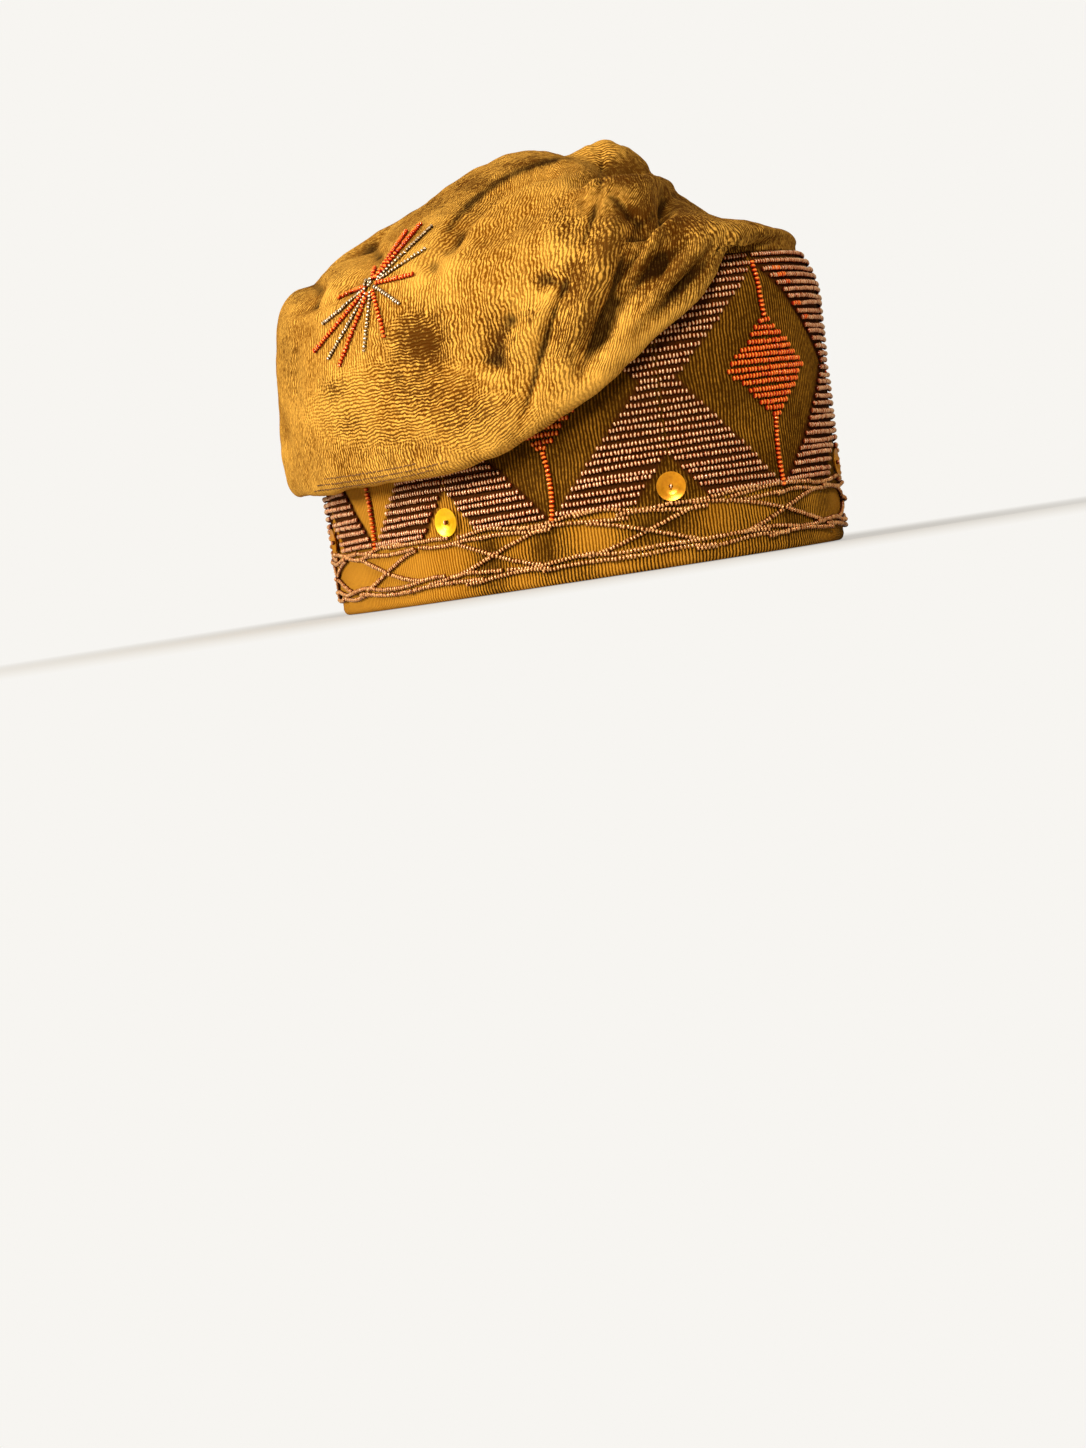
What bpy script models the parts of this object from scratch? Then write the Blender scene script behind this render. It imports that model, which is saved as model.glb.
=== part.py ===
"""Fila cap: a stiff velvet band with seven sequins, and a soft velvet crown folded over the wearer's right side.

Metres, +Z up. The origin is the centre of the rim's plane, the front faces -Y and the wearer's right is -X.
Angles round the cap start at the front and grow toward the wearer's right.
"""
import math

import bmesh
import bpy
import numpy as np
from mathutils import Matrix, Vector

MM = 0.001

# Band: an upright oval wall whose top edge rolls inward to the seam
HALF_DEPTH = 105.5 * MM
HALF_WIDTH = 79.8 * MM
BAND_HEIGHT = 102.0 * MM
BAND_WALL = 3.0 * MM
BAND_FLARE = 0.02 / (100.0 * MM)
TOP_ROLL_HEIGHT = 16.0 * MM
TOP_ROLL_IN = 5.0 * MM
LEAN = 0.018
BAND_COLUMNS = 60
BAND_STRAIGHT_ROWS = 1
BAND_ROLL_ROWS = 3

# Crown: one bag of cloth, from the seam over its hanging edge and the top to the pole
CROWN_WALL = 2.0 * MM
SEAM_GAP = 0.3 * MM
CROWN_COLUMNS = 72
CROWN_ROWS = 30
POLE = Vector((6.0, 10.0, 157.0)) * MM
INNER_CLEARANCE = 4.5 * MM
HANG_BLEND = 12.0 * MM
LEAST_OUT = 9.5 * MM
LEAST_OUT_BELOW = 110.0 * MM
SEAM_INSET = 0.5 * MM
PROFILE_SAMPLES = 240

# The bag's first nine points, in millimetres. Where it doesn't hang they rise over the seam in small steps. Where
# it hangs, three points carry it out over the band's edge, and the rest go down beside the band and round the
# hanging edge, at shares of the way out from its inner layer.
SEAM_RISES = (0.0, 0.8, 1.3, 1.8, 2.2, 2.6, 3.0, 3.3, 3.8)
OVER_EDGE = ((-5.0, 2.5), (-1.0, 4.0), (3.5, 1.0))
INNER_LAYER_DROP = 0.7
EDGE_TURN_ABOVE = 6.0
EDGE_SHARES = (0.15, 0.9)
EDGE_SAG = 1.5
EDGE_SHOULDER = (0.5, 10.0)

# The crown's last point before the pole, as shares of the way to the pole, sideways and up
NEAR_POLE = (0.55, 0.85)

# The crown's sections, in degrees and millimetres: the height of its hanging edge, then four points up its
# outside, each as a distance out from the band's straight outside and a height.
SECTION_COLUMNS = (
    "angle", "edge_z", "side_out", "side_z", "upper_out", "upper_z", "shoulder_out", "shoulder_z", "roof_out", "roof_z"
)
SECTIONS = (
    (-160, 104, -4.5, 107, -5.0, 115, -11.0, 131, -42, 149),
    (-130, 104, -4.0, 107, -3.5, 116, -8.0, 132, -36, 150),
    (-90, 104, -4.0, 107, -2.5, 114, -3.0, 124, -20, 143),
    (-75, 104, -4.5, 107, -3.5, 110, -7.0, 115, -26, 130),
    (-60, 104, -5.0, 107, -6.0, 109, -11.0, 113, -32, 122),
    (-35, 104, -5.0, 107, -6.0, 109, -14.0, 112, -44, 118),
    (-10, 104, -4.0, 106, -1.0, 109, -9.0, 112, -42, 120),
    (5, 101, 2.0, 105, 4.0, 108, -2.0, 114, -38, 122),
    (14, 95, 11.0, 100, 11.0, 107, 4.0, 115, -38, 126),
    (25, 83, 15.0, 94, 14.5, 106, 5.0, 117, -40, 132),
    (40, 64, 17.5, 84, 16.5, 105, 6.0, 119, -42, 140),
    (60, 48, 16.5, 76, 14.0, 104, 5.0, 120, -40, 143),
    (90, 45, 15.0, 72, 12.0, 102, 4.5, 121, -34, 136),
    (120, 46, 14.0, 70, 11.0, 102, 4.5, 121, -32, 131),
    (140, 50, 13.0, 75, 10.0, 104, 4.0, 124, -36, 134),
    (158, 78, 12.0, 92, 10.0, 107, 1.0, 126, -40, 143),
    (170, 96, 8.0, 102, 7.0, 111, -4.0, 126, -42, 147),
)

# Lumps that stand up on the crown's top: where they are from above, their radius and their height
LUMP_COLUMNS = ("name", "x", "y", "radius", "height")
LUMPS = (
    ("peak", 25, -21, 12, 12.0),
    ("lump beside the peak", 48, -2, 13, 10.0),
    ("valley behind the peak", 26, 6, 8, -4.0),
)
LUMP_UPRIGHT = 0.5

# Folds are laid out as they look from the wearer's right front, level with the rim
VIEW_ANGLE = math.radians(41.0)
VIEW_DISTANCE = 1300.0 * MM
VIEW_HEIGHT = 10.0 * MM

# Each fold runs through three places, across and up in millimetres. Its width is given on the left and on the
# right of that run, and its rise is positive for a ridge and negative for a groove.
FOLD_COLUMNS = ("name", "start", "middle", "end", "width_left", "width_right", "rise")
FOLDS = (
    ("groove behind the main panel", (12, 157), (-18, 146), (-38, 124), 6, 5, -8.0),
    ("main panel's upper edge", (21, 150), (2, 147), (-20, 139), 7, 5, 3.5),
    ("groove behind the star", (-52, 135), (-66, 123), (-83, 110), 6, 5, -7.0),
    ("groove at the far side", (-77, 128), (-84, 118), (-92, 110), 5, 5, -5.0),
    ("soft groove under the edge", (6, 134), (-13, 132), (-31, 126), 6, 6, -2.0),
    ("roll under the peak", (20, 133), (33, 138), (49, 133), 6, 6, 6.0),
    ("hollow under the peak", (23, 144), (32, 146), (42, 144), 5, 5, -6.0),
    ("groove behind the peak", (35, 153), (41, 147), (43, 136), 5, 4, -5.0),
    ("deep crease", (37, 126), (25, 106), (6, 74), 7, 6, -9.0),
    ("second fold", (52, 119), (37, 106), (18, 88), 5, 5, 4.5),
    ("second groove", (54, 117), (40, 102), (24, 84), 4, 4, -5.0),
    ("third fold", (60, 117), (48, 104), (32, 86), 4, 5, 3.5),
    ("third groove", (72, 117), (56, 106), (34, 86), 4, 4, -4.0),
    ("edge roll", (80, 116), (61, 106), (26, 72), 6, 8, 3.5),
    ("diagonal ridge", (7, 107), (-6, 94), (-20, 82), 6, 6, 3.5),
    ("diagonal hollow", (-10, 102), (-20, 89), (-26, 78), 7, 6, -4.0),
    ("hollow by the seam", (4, 112), (0, 109), (-4, 107), 6, 6, -2.0),
    ("hollow under the star", (-38, 92), (-52, 88), (-66, 78), 9, 9, -2.0),
)
BACK_FOLDS = (
    ("main back groove", (-30, 152), (-4, 132), (8, 106), 7, 6, -6.0),
    ("main back ridge", (-14, 154), (12, 136), (26, 110), 7, 8, 4.0),
    ("side back groove", (14, 150), (44, 134), (62, 112), 7, 6, -5.5),
    ("side back ridge", (30, 146), (62, 128), (78, 108), 8, 7, 3.5),
    ("near side groove", (-44, 146), (-46, 128), (-40, 108), 6, 7, -5.0),
    ("near side ridge", (-56, 144), (-60, 126), (-56, 106), 7, 6, 3.0),
    ("hanging side groove", (70, 118), (84, 92), (92, 66), 8, 8, -3.5),
)

# Where folds fade: how squarely the cloth faces the viewer, the shares of the rows by the seam and by the pole,
# and the shares of a fold's run at its start and its end, where this much of its rise is left
FACING = (0.0, 0.45)
SEAM_FADE = 0.08
POLE_FADE = 0.1
START_TAPER = 0.2
END_TAPER = 0.25
END_RISE = 0.25
RUN_STEPS = 12

# Sequins
DIAMONDS = 7
SEQUIN_DIAMETER = 10.0 * MM
SEQUIN_HOLE = 1.4 * MM
SEQUIN_CUP = 1.0 * MM
SEQUIN_THICKNESS = 0.6 * MM
SEQUIN_FLAT = 0.6
SEQUIN_HEIGHT = 27.0 * MM
SEQUIN_STEPS = 12
SEQUIN_GAP = 0.3 * MM


def smooth(value):
    """A soft step from 0 to 1."""
    clipped = np.clip(value, 0.0, 1.0)
    return clipped * clipped * (3.0 - 2.0 * clipped)


def blend(low, high, share):
    return low + (high - low) * share


def periodic(angles, values, at):
    """A smooth curve through values at angles in degrees, which repeats after a full turn."""
    knots = np.concatenate((angles[-2:] - 360.0, angles, angles[:2] + 360.0))
    heights = np.concatenate((values[-2:], values, values[:2]))
    slopes = np.gradient(heights, knots)
    place = (at - knots[1]) % 360.0 + knots[1]
    cell = np.clip(np.searchsorted(knots, place, side="right") - 1, 0, len(knots) - 2)
    width = knots[cell + 1] - knots[cell]
    share = (place - knots[cell]) / width
    rise = smooth(share)
    start_pull = share * (1.0 - share) ** 2 * width * slopes[cell]
    end_pull = share ** 2 * (share - 1.0) * width * slopes[cell + 1]
    return blend(heights[cell], heights[cell + 1], rise) + start_pull + end_pull


def on_band(angle, out, height):
    """Points at an angle round the band and a height, pushed out from its straight outside."""
    side = -HALF_DEPTH * np.sin(angle)
    front = -HALF_WIDTH * np.cos(angle)
    length = np.hypot(side, front)
    grow = 1.0 + BAND_FLARE * height
    x = -HALF_WIDTH * np.sin(angle) * grow + side / length * out + LEAN * math.cos(VIEW_ANGLE) * height
    y = -HALF_DEPTH * np.cos(angle) * grow + front / length * out - LEAN * math.sin(VIEW_ANGLE) * height
    return np.stack((x, y, height + np.zeros_like(x)), axis=-1)


def top_roll(height):
    """How far the band's outside has rolled inward at a height."""
    start = BAND_HEIGHT - TOP_ROLL_HEIGHT
    return TOP_ROLL_IN * np.clip((height - start) / TOP_ROLL_HEIGHT, 0.0, None) ** 2


def spline(points, share):
    """A clamped cubic B-spline through a chain of control points, at shares of its length from 0 to 1."""
    chain = np.concatenate((points[:1], points[:1], points, points[-1:], points[-1:]))
    spans = len(chain) - 3
    place = share * spans
    cell = np.minimum(place.astype(int), spans - 1)
    t = (place - cell)[:, None, None]
    weights = (
        (1.0 - t) ** 3 / 6.0,
        (3.0 * t ** 3 - 6.0 * t ** 2 + 4.0) / 6.0,
        (-3.0 * t ** 3 + 3.0 * t ** 2 + 3.0 * t + 1.0) / 6.0,
        t ** 3 / 6.0,
    )
    return sum(weight * chain[cell + step] for step, weight in enumerate(weights))


def crown_sections(angle):
    """The table's columns at each angle, in metres."""
    table = np.array(SECTIONS, dtype=float)
    degrees = np.degrees(angle)
    values = {}
    for column, name in enumerate(SECTION_COLUMNS[1:], start=1):
        values[name] = periodic(table[:, 0], table[:, column], degrees) * MM
    return values


def crown_profiles(angle):
    """Control points of each section's outline, from the seam to the pole."""
    section = crown_sections(angle)
    seam_z = BAND_HEIGHT + SEAM_GAP
    seam_in = -TOP_ROLL_IN - SEAM_INSET
    hang = smooth((seam_z - section["edge_z"]) / HANG_BLEND)
    edge_z = section["edge_z"]
    out = section["side_out"]
    inner = blend(seam_in, INNER_CLEARANCE, hang)
    over_edge = [(blend(seam_in, across * MM, hang), seam_z + up * MM) for across, up in OVER_EDGE]
    turn = [(blend(inner, out, share), edge_z - EDGE_SAG * MM) for share in EDGE_SHARES]
    shoulder_out, shoulder_up = EDGE_SHOULDER
    hung = [
        (seam_in, seam_z),
        *over_edge,
        (inner, blend(edge_z, seam_z, INNER_LAYER_DROP)),
        (inner, edge_z + EDGE_TURN_ABOVE * MM),
        *turn,
        (out + shoulder_out * MM * hang, edge_z + shoulder_up * MM),
    ]
    rows = [(across, blend(seam_z + rise * MM, up, hang)) for (across, up), rise in zip(hung, SEAM_RISES)]
    rows += [(section[f"{place}_out"], section[f"{place}_z"]) for place in ("side", "upper", "shoulder", "roof")]
    zero = np.zeros_like(angle)
    return np.array([on_band(angle, across + zero, height + zero) for across, height in rows])


def crown_surface(columns, rows):
    """The crown's outer face as a grid of points: rows go from the seam to the pole, columns round the cap."""
    angle = np.linspace(0.0, 2.0 * math.pi, columns, endpoint=False)
    profiles = crown_profiles(angle)
    pole = np.broadcast_to(np.array(POLE), profiles[:1].shape)
    sideways, upward = NEAR_POLE
    near_pole = blend(profiles[-1:], pole, sideways)
    near_pole[..., 2] = blend(profiles[-1:, :, 2], pole[..., 2], upward)
    chain = np.concatenate((profiles, near_pole, pole))
    dense = spline(chain, np.linspace(0.0, 1.0, PROFILE_SAMPLES))
    steps = np.linalg.norm(np.diff(dense, axis=0), axis=-1)
    lengths = np.concatenate((np.zeros((1, columns)), np.cumsum(steps, axis=0)))
    wanted = np.linspace(0.0, 1.0, rows + 1)
    grid = np.empty((rows + 1, columns, 3))
    for column in range(columns):
        along = lengths[:, column] / lengths[-1, column]
        for axis in range(3):
            grid[:, column, axis] = np.interp(wanted, along, dense[:, column, axis])
    return grid


def seen(points):
    """Places across and up, as they look from the wearer's right front."""
    across = points[..., 0] * math.cos(VIEW_ANGLE) - points[..., 1] * math.sin(VIEW_ANGLE)
    toward = -points[..., 0] * math.sin(VIEW_ANGLE) - points[..., 1] * math.cos(VIEW_ANGLE)
    nearness = VIEW_DISTANCE / (VIEW_DISTANCE - toward)
    return across * nearness, VIEW_HEIGHT + (points[..., 2] - VIEW_HEIGHT) * nearness


def surface_normals(grid):
    """Outward directions over a grid of rows and columns, whose columns close on themselves."""
    around = np.roll(grid, -1, axis=1) - np.roll(grid, 1, axis=1)
    up = np.gradient(grid, axis=0)
    normals = np.cross(up, around)
    normals /= np.maximum(np.linalg.norm(normals, axis=-1, keepdims=True), 1e-9)
    return normals


def lumped(grid):
    """The crown's outer face with the lumps of its top raised."""
    upward = smooth(surface_normals(grid)[..., 2] / LUMP_UPRIGHT)
    raised = grid.copy()
    for row in LUMPS:
        lump = dict(zip(LUMP_COLUMNS, row))
        distance = np.hypot(grid[..., 0] - lump["x"] * MM, grid[..., 1] - lump["y"] * MM)
        raised[..., 2] += lump["height"] * MM * np.exp(-((distance / (lump["radius"] * MM)) ** 2)) * upward
    return raised


def fold_rise(across, up, row):
    """How far one fold lifts or sinks the cloth at places across and up."""
    fold = dict(zip(FOLD_COLUMNS, row))
    start, middle, end = (np.array(fold[place]) * MM for place in ("start", "middle", "end"))
    turn = 2.0 * middle - 0.5 * (start + end)
    share = np.linspace(0.0, 1.0, RUN_STEPS + 1)[:, None]
    run = (1.0 - share) ** 2 * start + 2.0 * share * (1.0 - share) * turn + share ** 2 * end
    nearest = np.full(across.shape, np.inf)
    total = np.zeros(across.shape)
    for step, (first, last) in enumerate(zip(run[:-1], run[1:])):
        way = last - first
        size = np.hypot(*way)
        ahead = ((across - first[0]) * way[0] + (up - first[1]) * way[1]) / size ** 2
        ahead = np.clip(ahead, 0.0, 1.0)
        offset_across = across - first[0] - ahead * way[0]
        offset_up = up - first[1] - ahead * way[1]
        distance = np.hypot(offset_across, offset_up)
        turned_left = way[0] * offset_up - way[1] * offset_across > 0.0
        width = np.where(turned_left, fold["width_left"], fold["width_right"]) * MM
        place = (step + ahead) / RUN_STEPS
        taper = smooth(place / START_TAPER) * smooth((1.0 - place) / END_TAPER)
        lift = fold["rise"] * MM * np.exp(-((distance / width) ** 2)) * blend(END_RISE, 1.0, taper)
        closer = distance < nearest
        total = np.where(closer, lift, total)
        nearest = np.where(closer, distance, nearest)
    return total


def folded(grid):
    """The crown's outer face with its folds pressed in."""
    normals = surface_normals(grid)
    facing = -normals[..., 0] * math.sin(VIEW_ANGLE) - normals[..., 1] * math.cos(VIEW_ANGLE)
    across, up = seen(grid)
    low, high = FACING
    lift = sum(fold_rise(across, up, fold) for fold in FOLDS) * smooth((facing - low + high / 2) / high)
    back = sum(fold_rise(-across, up, fold) for fold in BACK_FOLDS) * smooth((low - facing + high / 2) / high)
    rows = len(grid) - 1
    row = np.arange(rows + 1)[:, None]
    at_seam = smooth(row / (SEAM_FADE * rows))
    near_pole = smooth((rows - row) / (POLE_FADE * rows))
    depth = (lift + back) * at_seam * near_pole
    angle = np.linspace(0.0, 2.0 * math.pi, grid.shape[1], endpoint=False)[None, :]
    foot = on_band(angle, 0.0, grid[..., 2])
    outward = on_band(angle, MM, grid[..., 2]) - foot
    out = np.sum((grid - foot) * outward, axis=-1) / MM
    room = np.where((out > LEAST_OUT) & (grid[..., 2] < LEAST_OUT_BELOW), out - LEAST_OUT, np.inf)
    return grid + normals * np.maximum(depth, -room)[..., None]


def material(name, colour, roughness, metallic=0.0):
    """A plain surface of one colour."""
    made = bpy.data.materials.new(name)
    made.use_nodes = True
    shader = made.node_tree.nodes["Principled BSDF"]
    shader.inputs["Base Color"].default_value = (*colour, 1.0)
    shader.inputs["Roughness"].default_value = roughness
    shader.inputs["Metallic"].default_value = metallic
    return made


def grid_mesh(name, grid):
    """A mesh through a grid of points whose columns close on themselves, with its highest face turned upward."""
    rows, columns = len(grid) - 1, grid.shape[1]
    points = np.concatenate((grid, grid[:, :1]), axis=1).reshape(-1, 3)
    sheet = bmesh.new()
    bmesh.ops.create_grid(sheet, x_segments=columns, y_segments=rows, size=1.0)
    for vert, point in zip(sheet.verts, points):
        vert.co = point
    bmesh.ops.remove_doubles(sheet, verts=sheet.verts, dist=0.01 * MM)
    bmesh.ops.recalc_face_normals(sheet, faces=sheet.faces)
    highest = max(sheet.faces, key=lambda face: face.calc_center_median().z)
    if highest.normal.z < 0.0:
        bmesh.ops.reverse_faces(sheet, faces=sheet.faces)
    mesh = bpy.data.meshes.new(name)
    sheet.to_mesh(mesh)
    sheet.free()
    return mesh


def add_piece(collection, name, mesh, finish):
    """One named piece of the cap."""
    mesh.shade_smooth()
    mesh.materials.append(finish)
    piece = bpy.data.objects.new(name, mesh)
    collection.objects.link(piece)
    return piece


def make_band(collection, finish):
    """The upright wall: outside from the rim to the rolled top edge, then down its inside to the rim again."""
    angle = np.linspace(0.0, 2.0 * math.pi, BAND_COLUMNS, endpoint=False)
    roll_start = BAND_HEIGHT - TOP_ROLL_HEIGHT
    straight = np.linspace(0.0, roll_start, BAND_STRAIGHT_ROWS + 1)
    rolled = np.linspace(roll_start, BAND_HEIGHT, BAND_ROLL_ROWS + 1)[1:]
    heights = np.concatenate((straight, rolled))
    outside = [on_band(angle, -top_roll(height), height) for height in heights]
    inside = [on_band(angle, -top_roll(height) - BAND_WALL, height) for height in heights[::-1]]
    add_piece(collection, "band", grid_mesh("band", np.array(outside + inside + outside[:1])), finish)


def make_crown(collection, finish):
    """The soft bag, from the seam on the band over the hanging edge and the top."""
    grid = folded(lumped(crown_surface(CROWN_COLUMNS, CROWN_ROWS)))
    crown = add_piece(collection, "crown", grid_mesh("crown", grid), finish)
    wall = crown.modifiers.new("Wall", "SOLIDIFY")
    wall.thickness = CROWN_WALL
    wall.offset = -1.0


def arc_angles(count, offset):
    """Angles that stand at equal arcs round the band, shifted by a share of one arc."""
    fine = np.linspace(0.0, 2.0 * math.pi, 2881)
    ring = on_band(fine, 0.0, 0.0)
    steps = np.linalg.norm(np.diff(ring, axis=0), axis=-1)
    arc = np.concatenate(([0.0], np.cumsum(steps)))
    wanted = (np.arange(count) + offset) / count * arc[-1]
    return np.interp(wanted, arc, fine)


def sequin_mesh():
    """One cupped disc with a hole at its centre, turned about +Z, whose back touches z = 0."""
    radius = SEQUIN_DIAMETER / 2.0
    hole = SEQUIN_HOLE / 2.0
    profile = (
        (hole, 0.0, SEQUIN_THICKNESS),
        (radius * SEQUIN_FLAT, 0.0, SEQUIN_THICKNESS),
        (radius, 0.0, SEQUIN_THICKNESS + SEQUIN_CUP),
        (radius, 0.0, SEQUIN_CUP),
        (radius * SEQUIN_FLAT, 0.0, 0.0),
        (hole, 0.0, 0.0),
    )
    disc = bmesh.new()
    ring = [disc.verts.new(point) for point in profile]
    edges = [disc.edges.new((first, last)) for first, last in zip(ring, ring[1:] + ring[:1])]
    bmesh.ops.spin(
        disc, geom=ring + edges, axis=(0.0, 0.0, 1.0), angle=2.0 * math.pi, steps=SEQUIN_STEPS, use_merge=True
    )
    bmesh.ops.recalc_face_normals(disc, faces=disc.faces)
    mesh = bpy.data.meshes.new("sequin")
    disc.to_mesh(mesh)
    disc.free()
    mesh.shade_smooth()
    mesh.set_sharp_from_angle(angle=math.radians(30.0))
    return mesh


def make_sequins(collection, finish):
    """A sequin at each place midway between two diamonds."""
    mesh = sequin_mesh()
    mesh.materials.append(finish)
    for number, angle in enumerate(arc_angles(DIAMONDS, 0.5), start=1):
        at = on_band(np.array(angle), SEQUIN_GAP, SEQUIN_HEIGHT)
        out = Vector(on_band(np.array(angle), SEQUIN_GAP + MM, SEQUIN_HEIGHT) - at).normalized()
        sequin = bpy.data.objects.new(f"sequin_{number}", mesh)
        sequin.matrix_world = Matrix.Translation(Vector(at)) @ out.to_track_quat("Z", "Y").to_matrix().to_4x4()
        collection.objects.link(sequin)


def main():
    for left_over in list(bpy.data.objects):
        bpy.data.objects.remove(left_over)
    cap = bpy.data.collections.new("fila_cap")
    bpy.context.scene.collection.children.link(cap)
    dark_velvet = material("brown gold velvet", (0.22, 0.10, 0.012), 0.85)
    gold_velvet = material("gold velvet", (0.50, 0.24, 0.05), 0.8)
    gold_foil = material("gold sequin", (0.85, 0.50, 0.02), 0.25, 1.0)
    make_band(cap, dark_velvet)
    make_crown(cap, gold_velvet)
    make_sequins(cap, gold_foil)


main()
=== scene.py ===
"""Looks of the fila cap: velvet band and crown, couched seed beads, sequins and a starburst of beads.

Metres, +Z up, with the origin at the centre of the rim. Angles round the cap start at the front and grow
toward the wearer's right. Runs along the band are arcs from the front, in the same sense.
"""
import math

import bmesh
import bpy
import numpy as np
from mathutils import Matrix, Vector, noise
from mathutils.bvhtree import BVHTree


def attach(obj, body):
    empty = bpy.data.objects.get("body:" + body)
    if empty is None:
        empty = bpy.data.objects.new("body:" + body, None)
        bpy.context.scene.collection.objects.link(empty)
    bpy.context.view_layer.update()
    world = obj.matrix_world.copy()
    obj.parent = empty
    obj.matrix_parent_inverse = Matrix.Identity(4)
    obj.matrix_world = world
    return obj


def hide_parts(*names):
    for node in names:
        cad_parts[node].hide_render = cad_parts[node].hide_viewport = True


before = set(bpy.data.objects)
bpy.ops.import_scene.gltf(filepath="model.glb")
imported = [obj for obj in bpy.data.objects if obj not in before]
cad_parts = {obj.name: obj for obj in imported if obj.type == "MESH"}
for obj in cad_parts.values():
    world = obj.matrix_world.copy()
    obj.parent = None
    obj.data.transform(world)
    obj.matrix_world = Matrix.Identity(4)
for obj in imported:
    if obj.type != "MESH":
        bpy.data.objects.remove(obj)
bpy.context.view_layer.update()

MM = 0.001

# The band's oval, as the solids have it
HALF_DEPTH = 105.5 * MM
HALF_WIDTH = 79.8 * MM
BAND_HEIGHT = 102.0 * MM
BAND_WALL = 3.0 * MM
BAND_FLARE = 0.02 / (100.0 * MM)
TOP_ROLL_HEIGHT = 16.0 * MM
TOP_ROLL_IN = 5.0 * MM
LEAN = 0.018

# The crown's sections, lumps and folds, as the solids have them
CROWN_WALL = 2.0 * MM
SEAM_GAP = 0.3 * MM
POLE = Vector((6.0, 10.0, 157.0)) * MM
# Folds stay out of the calm spot at the pole and grow to full over its ease; streaks lie one way in its reach
POLE_CALM = 3.0 * MM
POLE_EASE = 14.0 * MM
TOP_REACH = 42.0 * MM
# The hanging cloth's near side stands this far off the band, and an edge this far under the seam hangs fully
INNER_CLEARANCE = 4.5 * MM
HANG_BLEND = 12.0 * MM
# The looks' own grid, and the uneven lie of soft cloth: lengths of its two noises, and heights in millimetres
CROWN_COLUMNS = 280
CROWN_ROWS = 168
RUMPLES = ((17.0 * MM, 1.2), (6.0 * MM, 0.4))
# A fold leaves the crown's outside this far off the band, and farther where the edge hangs less. Above the
# free height it may sink by as much as it is higher.
LEAST_OUT = 9.5 * MM
LEAST_OUT_THIN = 3.0 * MM
THIN_FROM = 70.0 * MM
THIN_RANGE = 20.0 * MM
FREE_ABOVE = 108.0 * MM
SECTION_COLUMNS = (
    "angle", "edge_z", "side_out", "side_z", "upper_out", "upper_z", "shoulder_out", "shoulder_z", "roof_out",
    "roof_z",
)
SECTIONS = (
    (-160, 104, -4.5, 107, -5.0, 115, -11.0, 131, -42, 149),
    (-130, 104, -4.0, 107, -3.5, 116, -8.0, 132, -36, 150),
    (-90, 104, -4.0, 107, -2.5, 114, -3.0, 124, -20, 143),
    (-75, 104, -4.5, 107, -3.5, 110, -7.0, 115, -26, 130),
    (-60, 104, -5.0, 107, -6.0, 109, -11.0, 113, -32, 122),
    (-35, 104, -5.0, 107, -6.0, 109, -14.0, 112, -44, 118),
    (-10, 104, -4.0, 106, -1.0, 109, -9.0, 112, -42, 120),
    (5, 101, 2.0, 105, 4.0, 108, -2.0, 114, -38, 122),
    (14, 95, 11.0, 100, 11.0, 107, 4.0, 115, -38, 126),
    (25, 83, 15.0, 94, 14.5, 106, 5.0, 117, -40, 132),
    (40, 64, 17.5, 84, 16.5, 105, 6.0, 119, -42, 140),
    (60, 48, 16.5, 76, 14.0, 104, 5.0, 120, -40, 143),
    (90, 45, 15.0, 72, 12.0, 102, 4.5, 121, -34, 136),
    (120, 46, 14.0, 70, 11.0, 102, 4.5, 121, -32, 131),
    (140, 50, 13.0, 75, 10.0, 104, 4.0, 124, -36, 134),
    (158, 78, 12.0, 92, 10.0, 107, 1.0, 126, -40, 143),
    (170, 96, 8.0, 102, 7.0, 111, -4.0, 126, -42, 147),
)
# Name, x, y, radius and height
LUMPS = (
    ("peak", 25, -21, 12, 12.0),
    ("lump beside the peak", 48, -2, 13, 10.0),
    ("valley behind the peak", 26, 6, 8, -4.0),
)
# Name, start, middle and end across and up in the photograph's view, widths to the left and right, and rise
FOLDS = (
    ("groove behind the main panel", (15, 149.5), (-12, 145), (-41, 122), 4, 3.5, -8.0),
    ("main panel's upper edge", (12, 145), (-12, 140), (-32, 133), 5, 4, 2.5),
    ("groove left of the star", (-54, 133), (-66, 124), (-76, 114), 4, 4, -4.5),
    ("groove at the far side", (-79, 125), (-86, 116), (-89, 105), 3.5, 3.5, -4.0),
    ("soft groove under the edge", (-27, 128), (-9, 132.5), (6, 139), 4, 4, -2.5),
    ("crease over the roll", (17, 142), (30, 141), (43, 139.5), 2.5, 2.5, -5.5),
    ("roll under the peak", (17, 136), (33, 134), (49, 134), 4.5, 4.5, 7.5),
    ("peak's right edge", (38, 150), (42, 145), (42, 139), 3, 3, 2.0),
    ("peak's top", (22, 155), (30, 158), (38, 155), 5, 5, -2.0),
    ("groove behind the peak", (39, 154), (46, 146), (47, 140), 3.5, 3, -4.0),
    ("pocket", (34, 121), (44, 126.5), (51, 132), 3.5, 3.0, -9.0),
    ("deep crease", (38, 126), (26, 105), (8, 74), 4, 3.5, -12.0),
    ("second ridge", (47, 122), (33, 108), (12, 92), 4, 4, 4.5),
    ("second groove", (52, 118), (37, 106), (16, 88), 3, 3, -4.5),
    ("third ridge", (62, 118), (48, 106), (30, 92), 5, 5, 3.0),
    ("third groove", (70, 115), (55, 103), (32, 85), 3, 3, -4.5),
    ("edge roll", (79, 116), (59, 104), (28, 80), 5, 6, 3.5),
    ("diagonal ridge", (7, 107), (-6, 94), (-20, 82), 6, 6, 3.5),
    ("diagonal hollow", (-10, 102), (-20, 89), (-26, 78), 7, 6, -4.0),
    ("hollow by the seam", (4, 112), (0, 109), (-4, 107), 6, 6, -2.0),
    ("hollow under the star", (-38, 92), (-52, 88), (-66, 78), 9, 9, -2.0),
)
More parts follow.
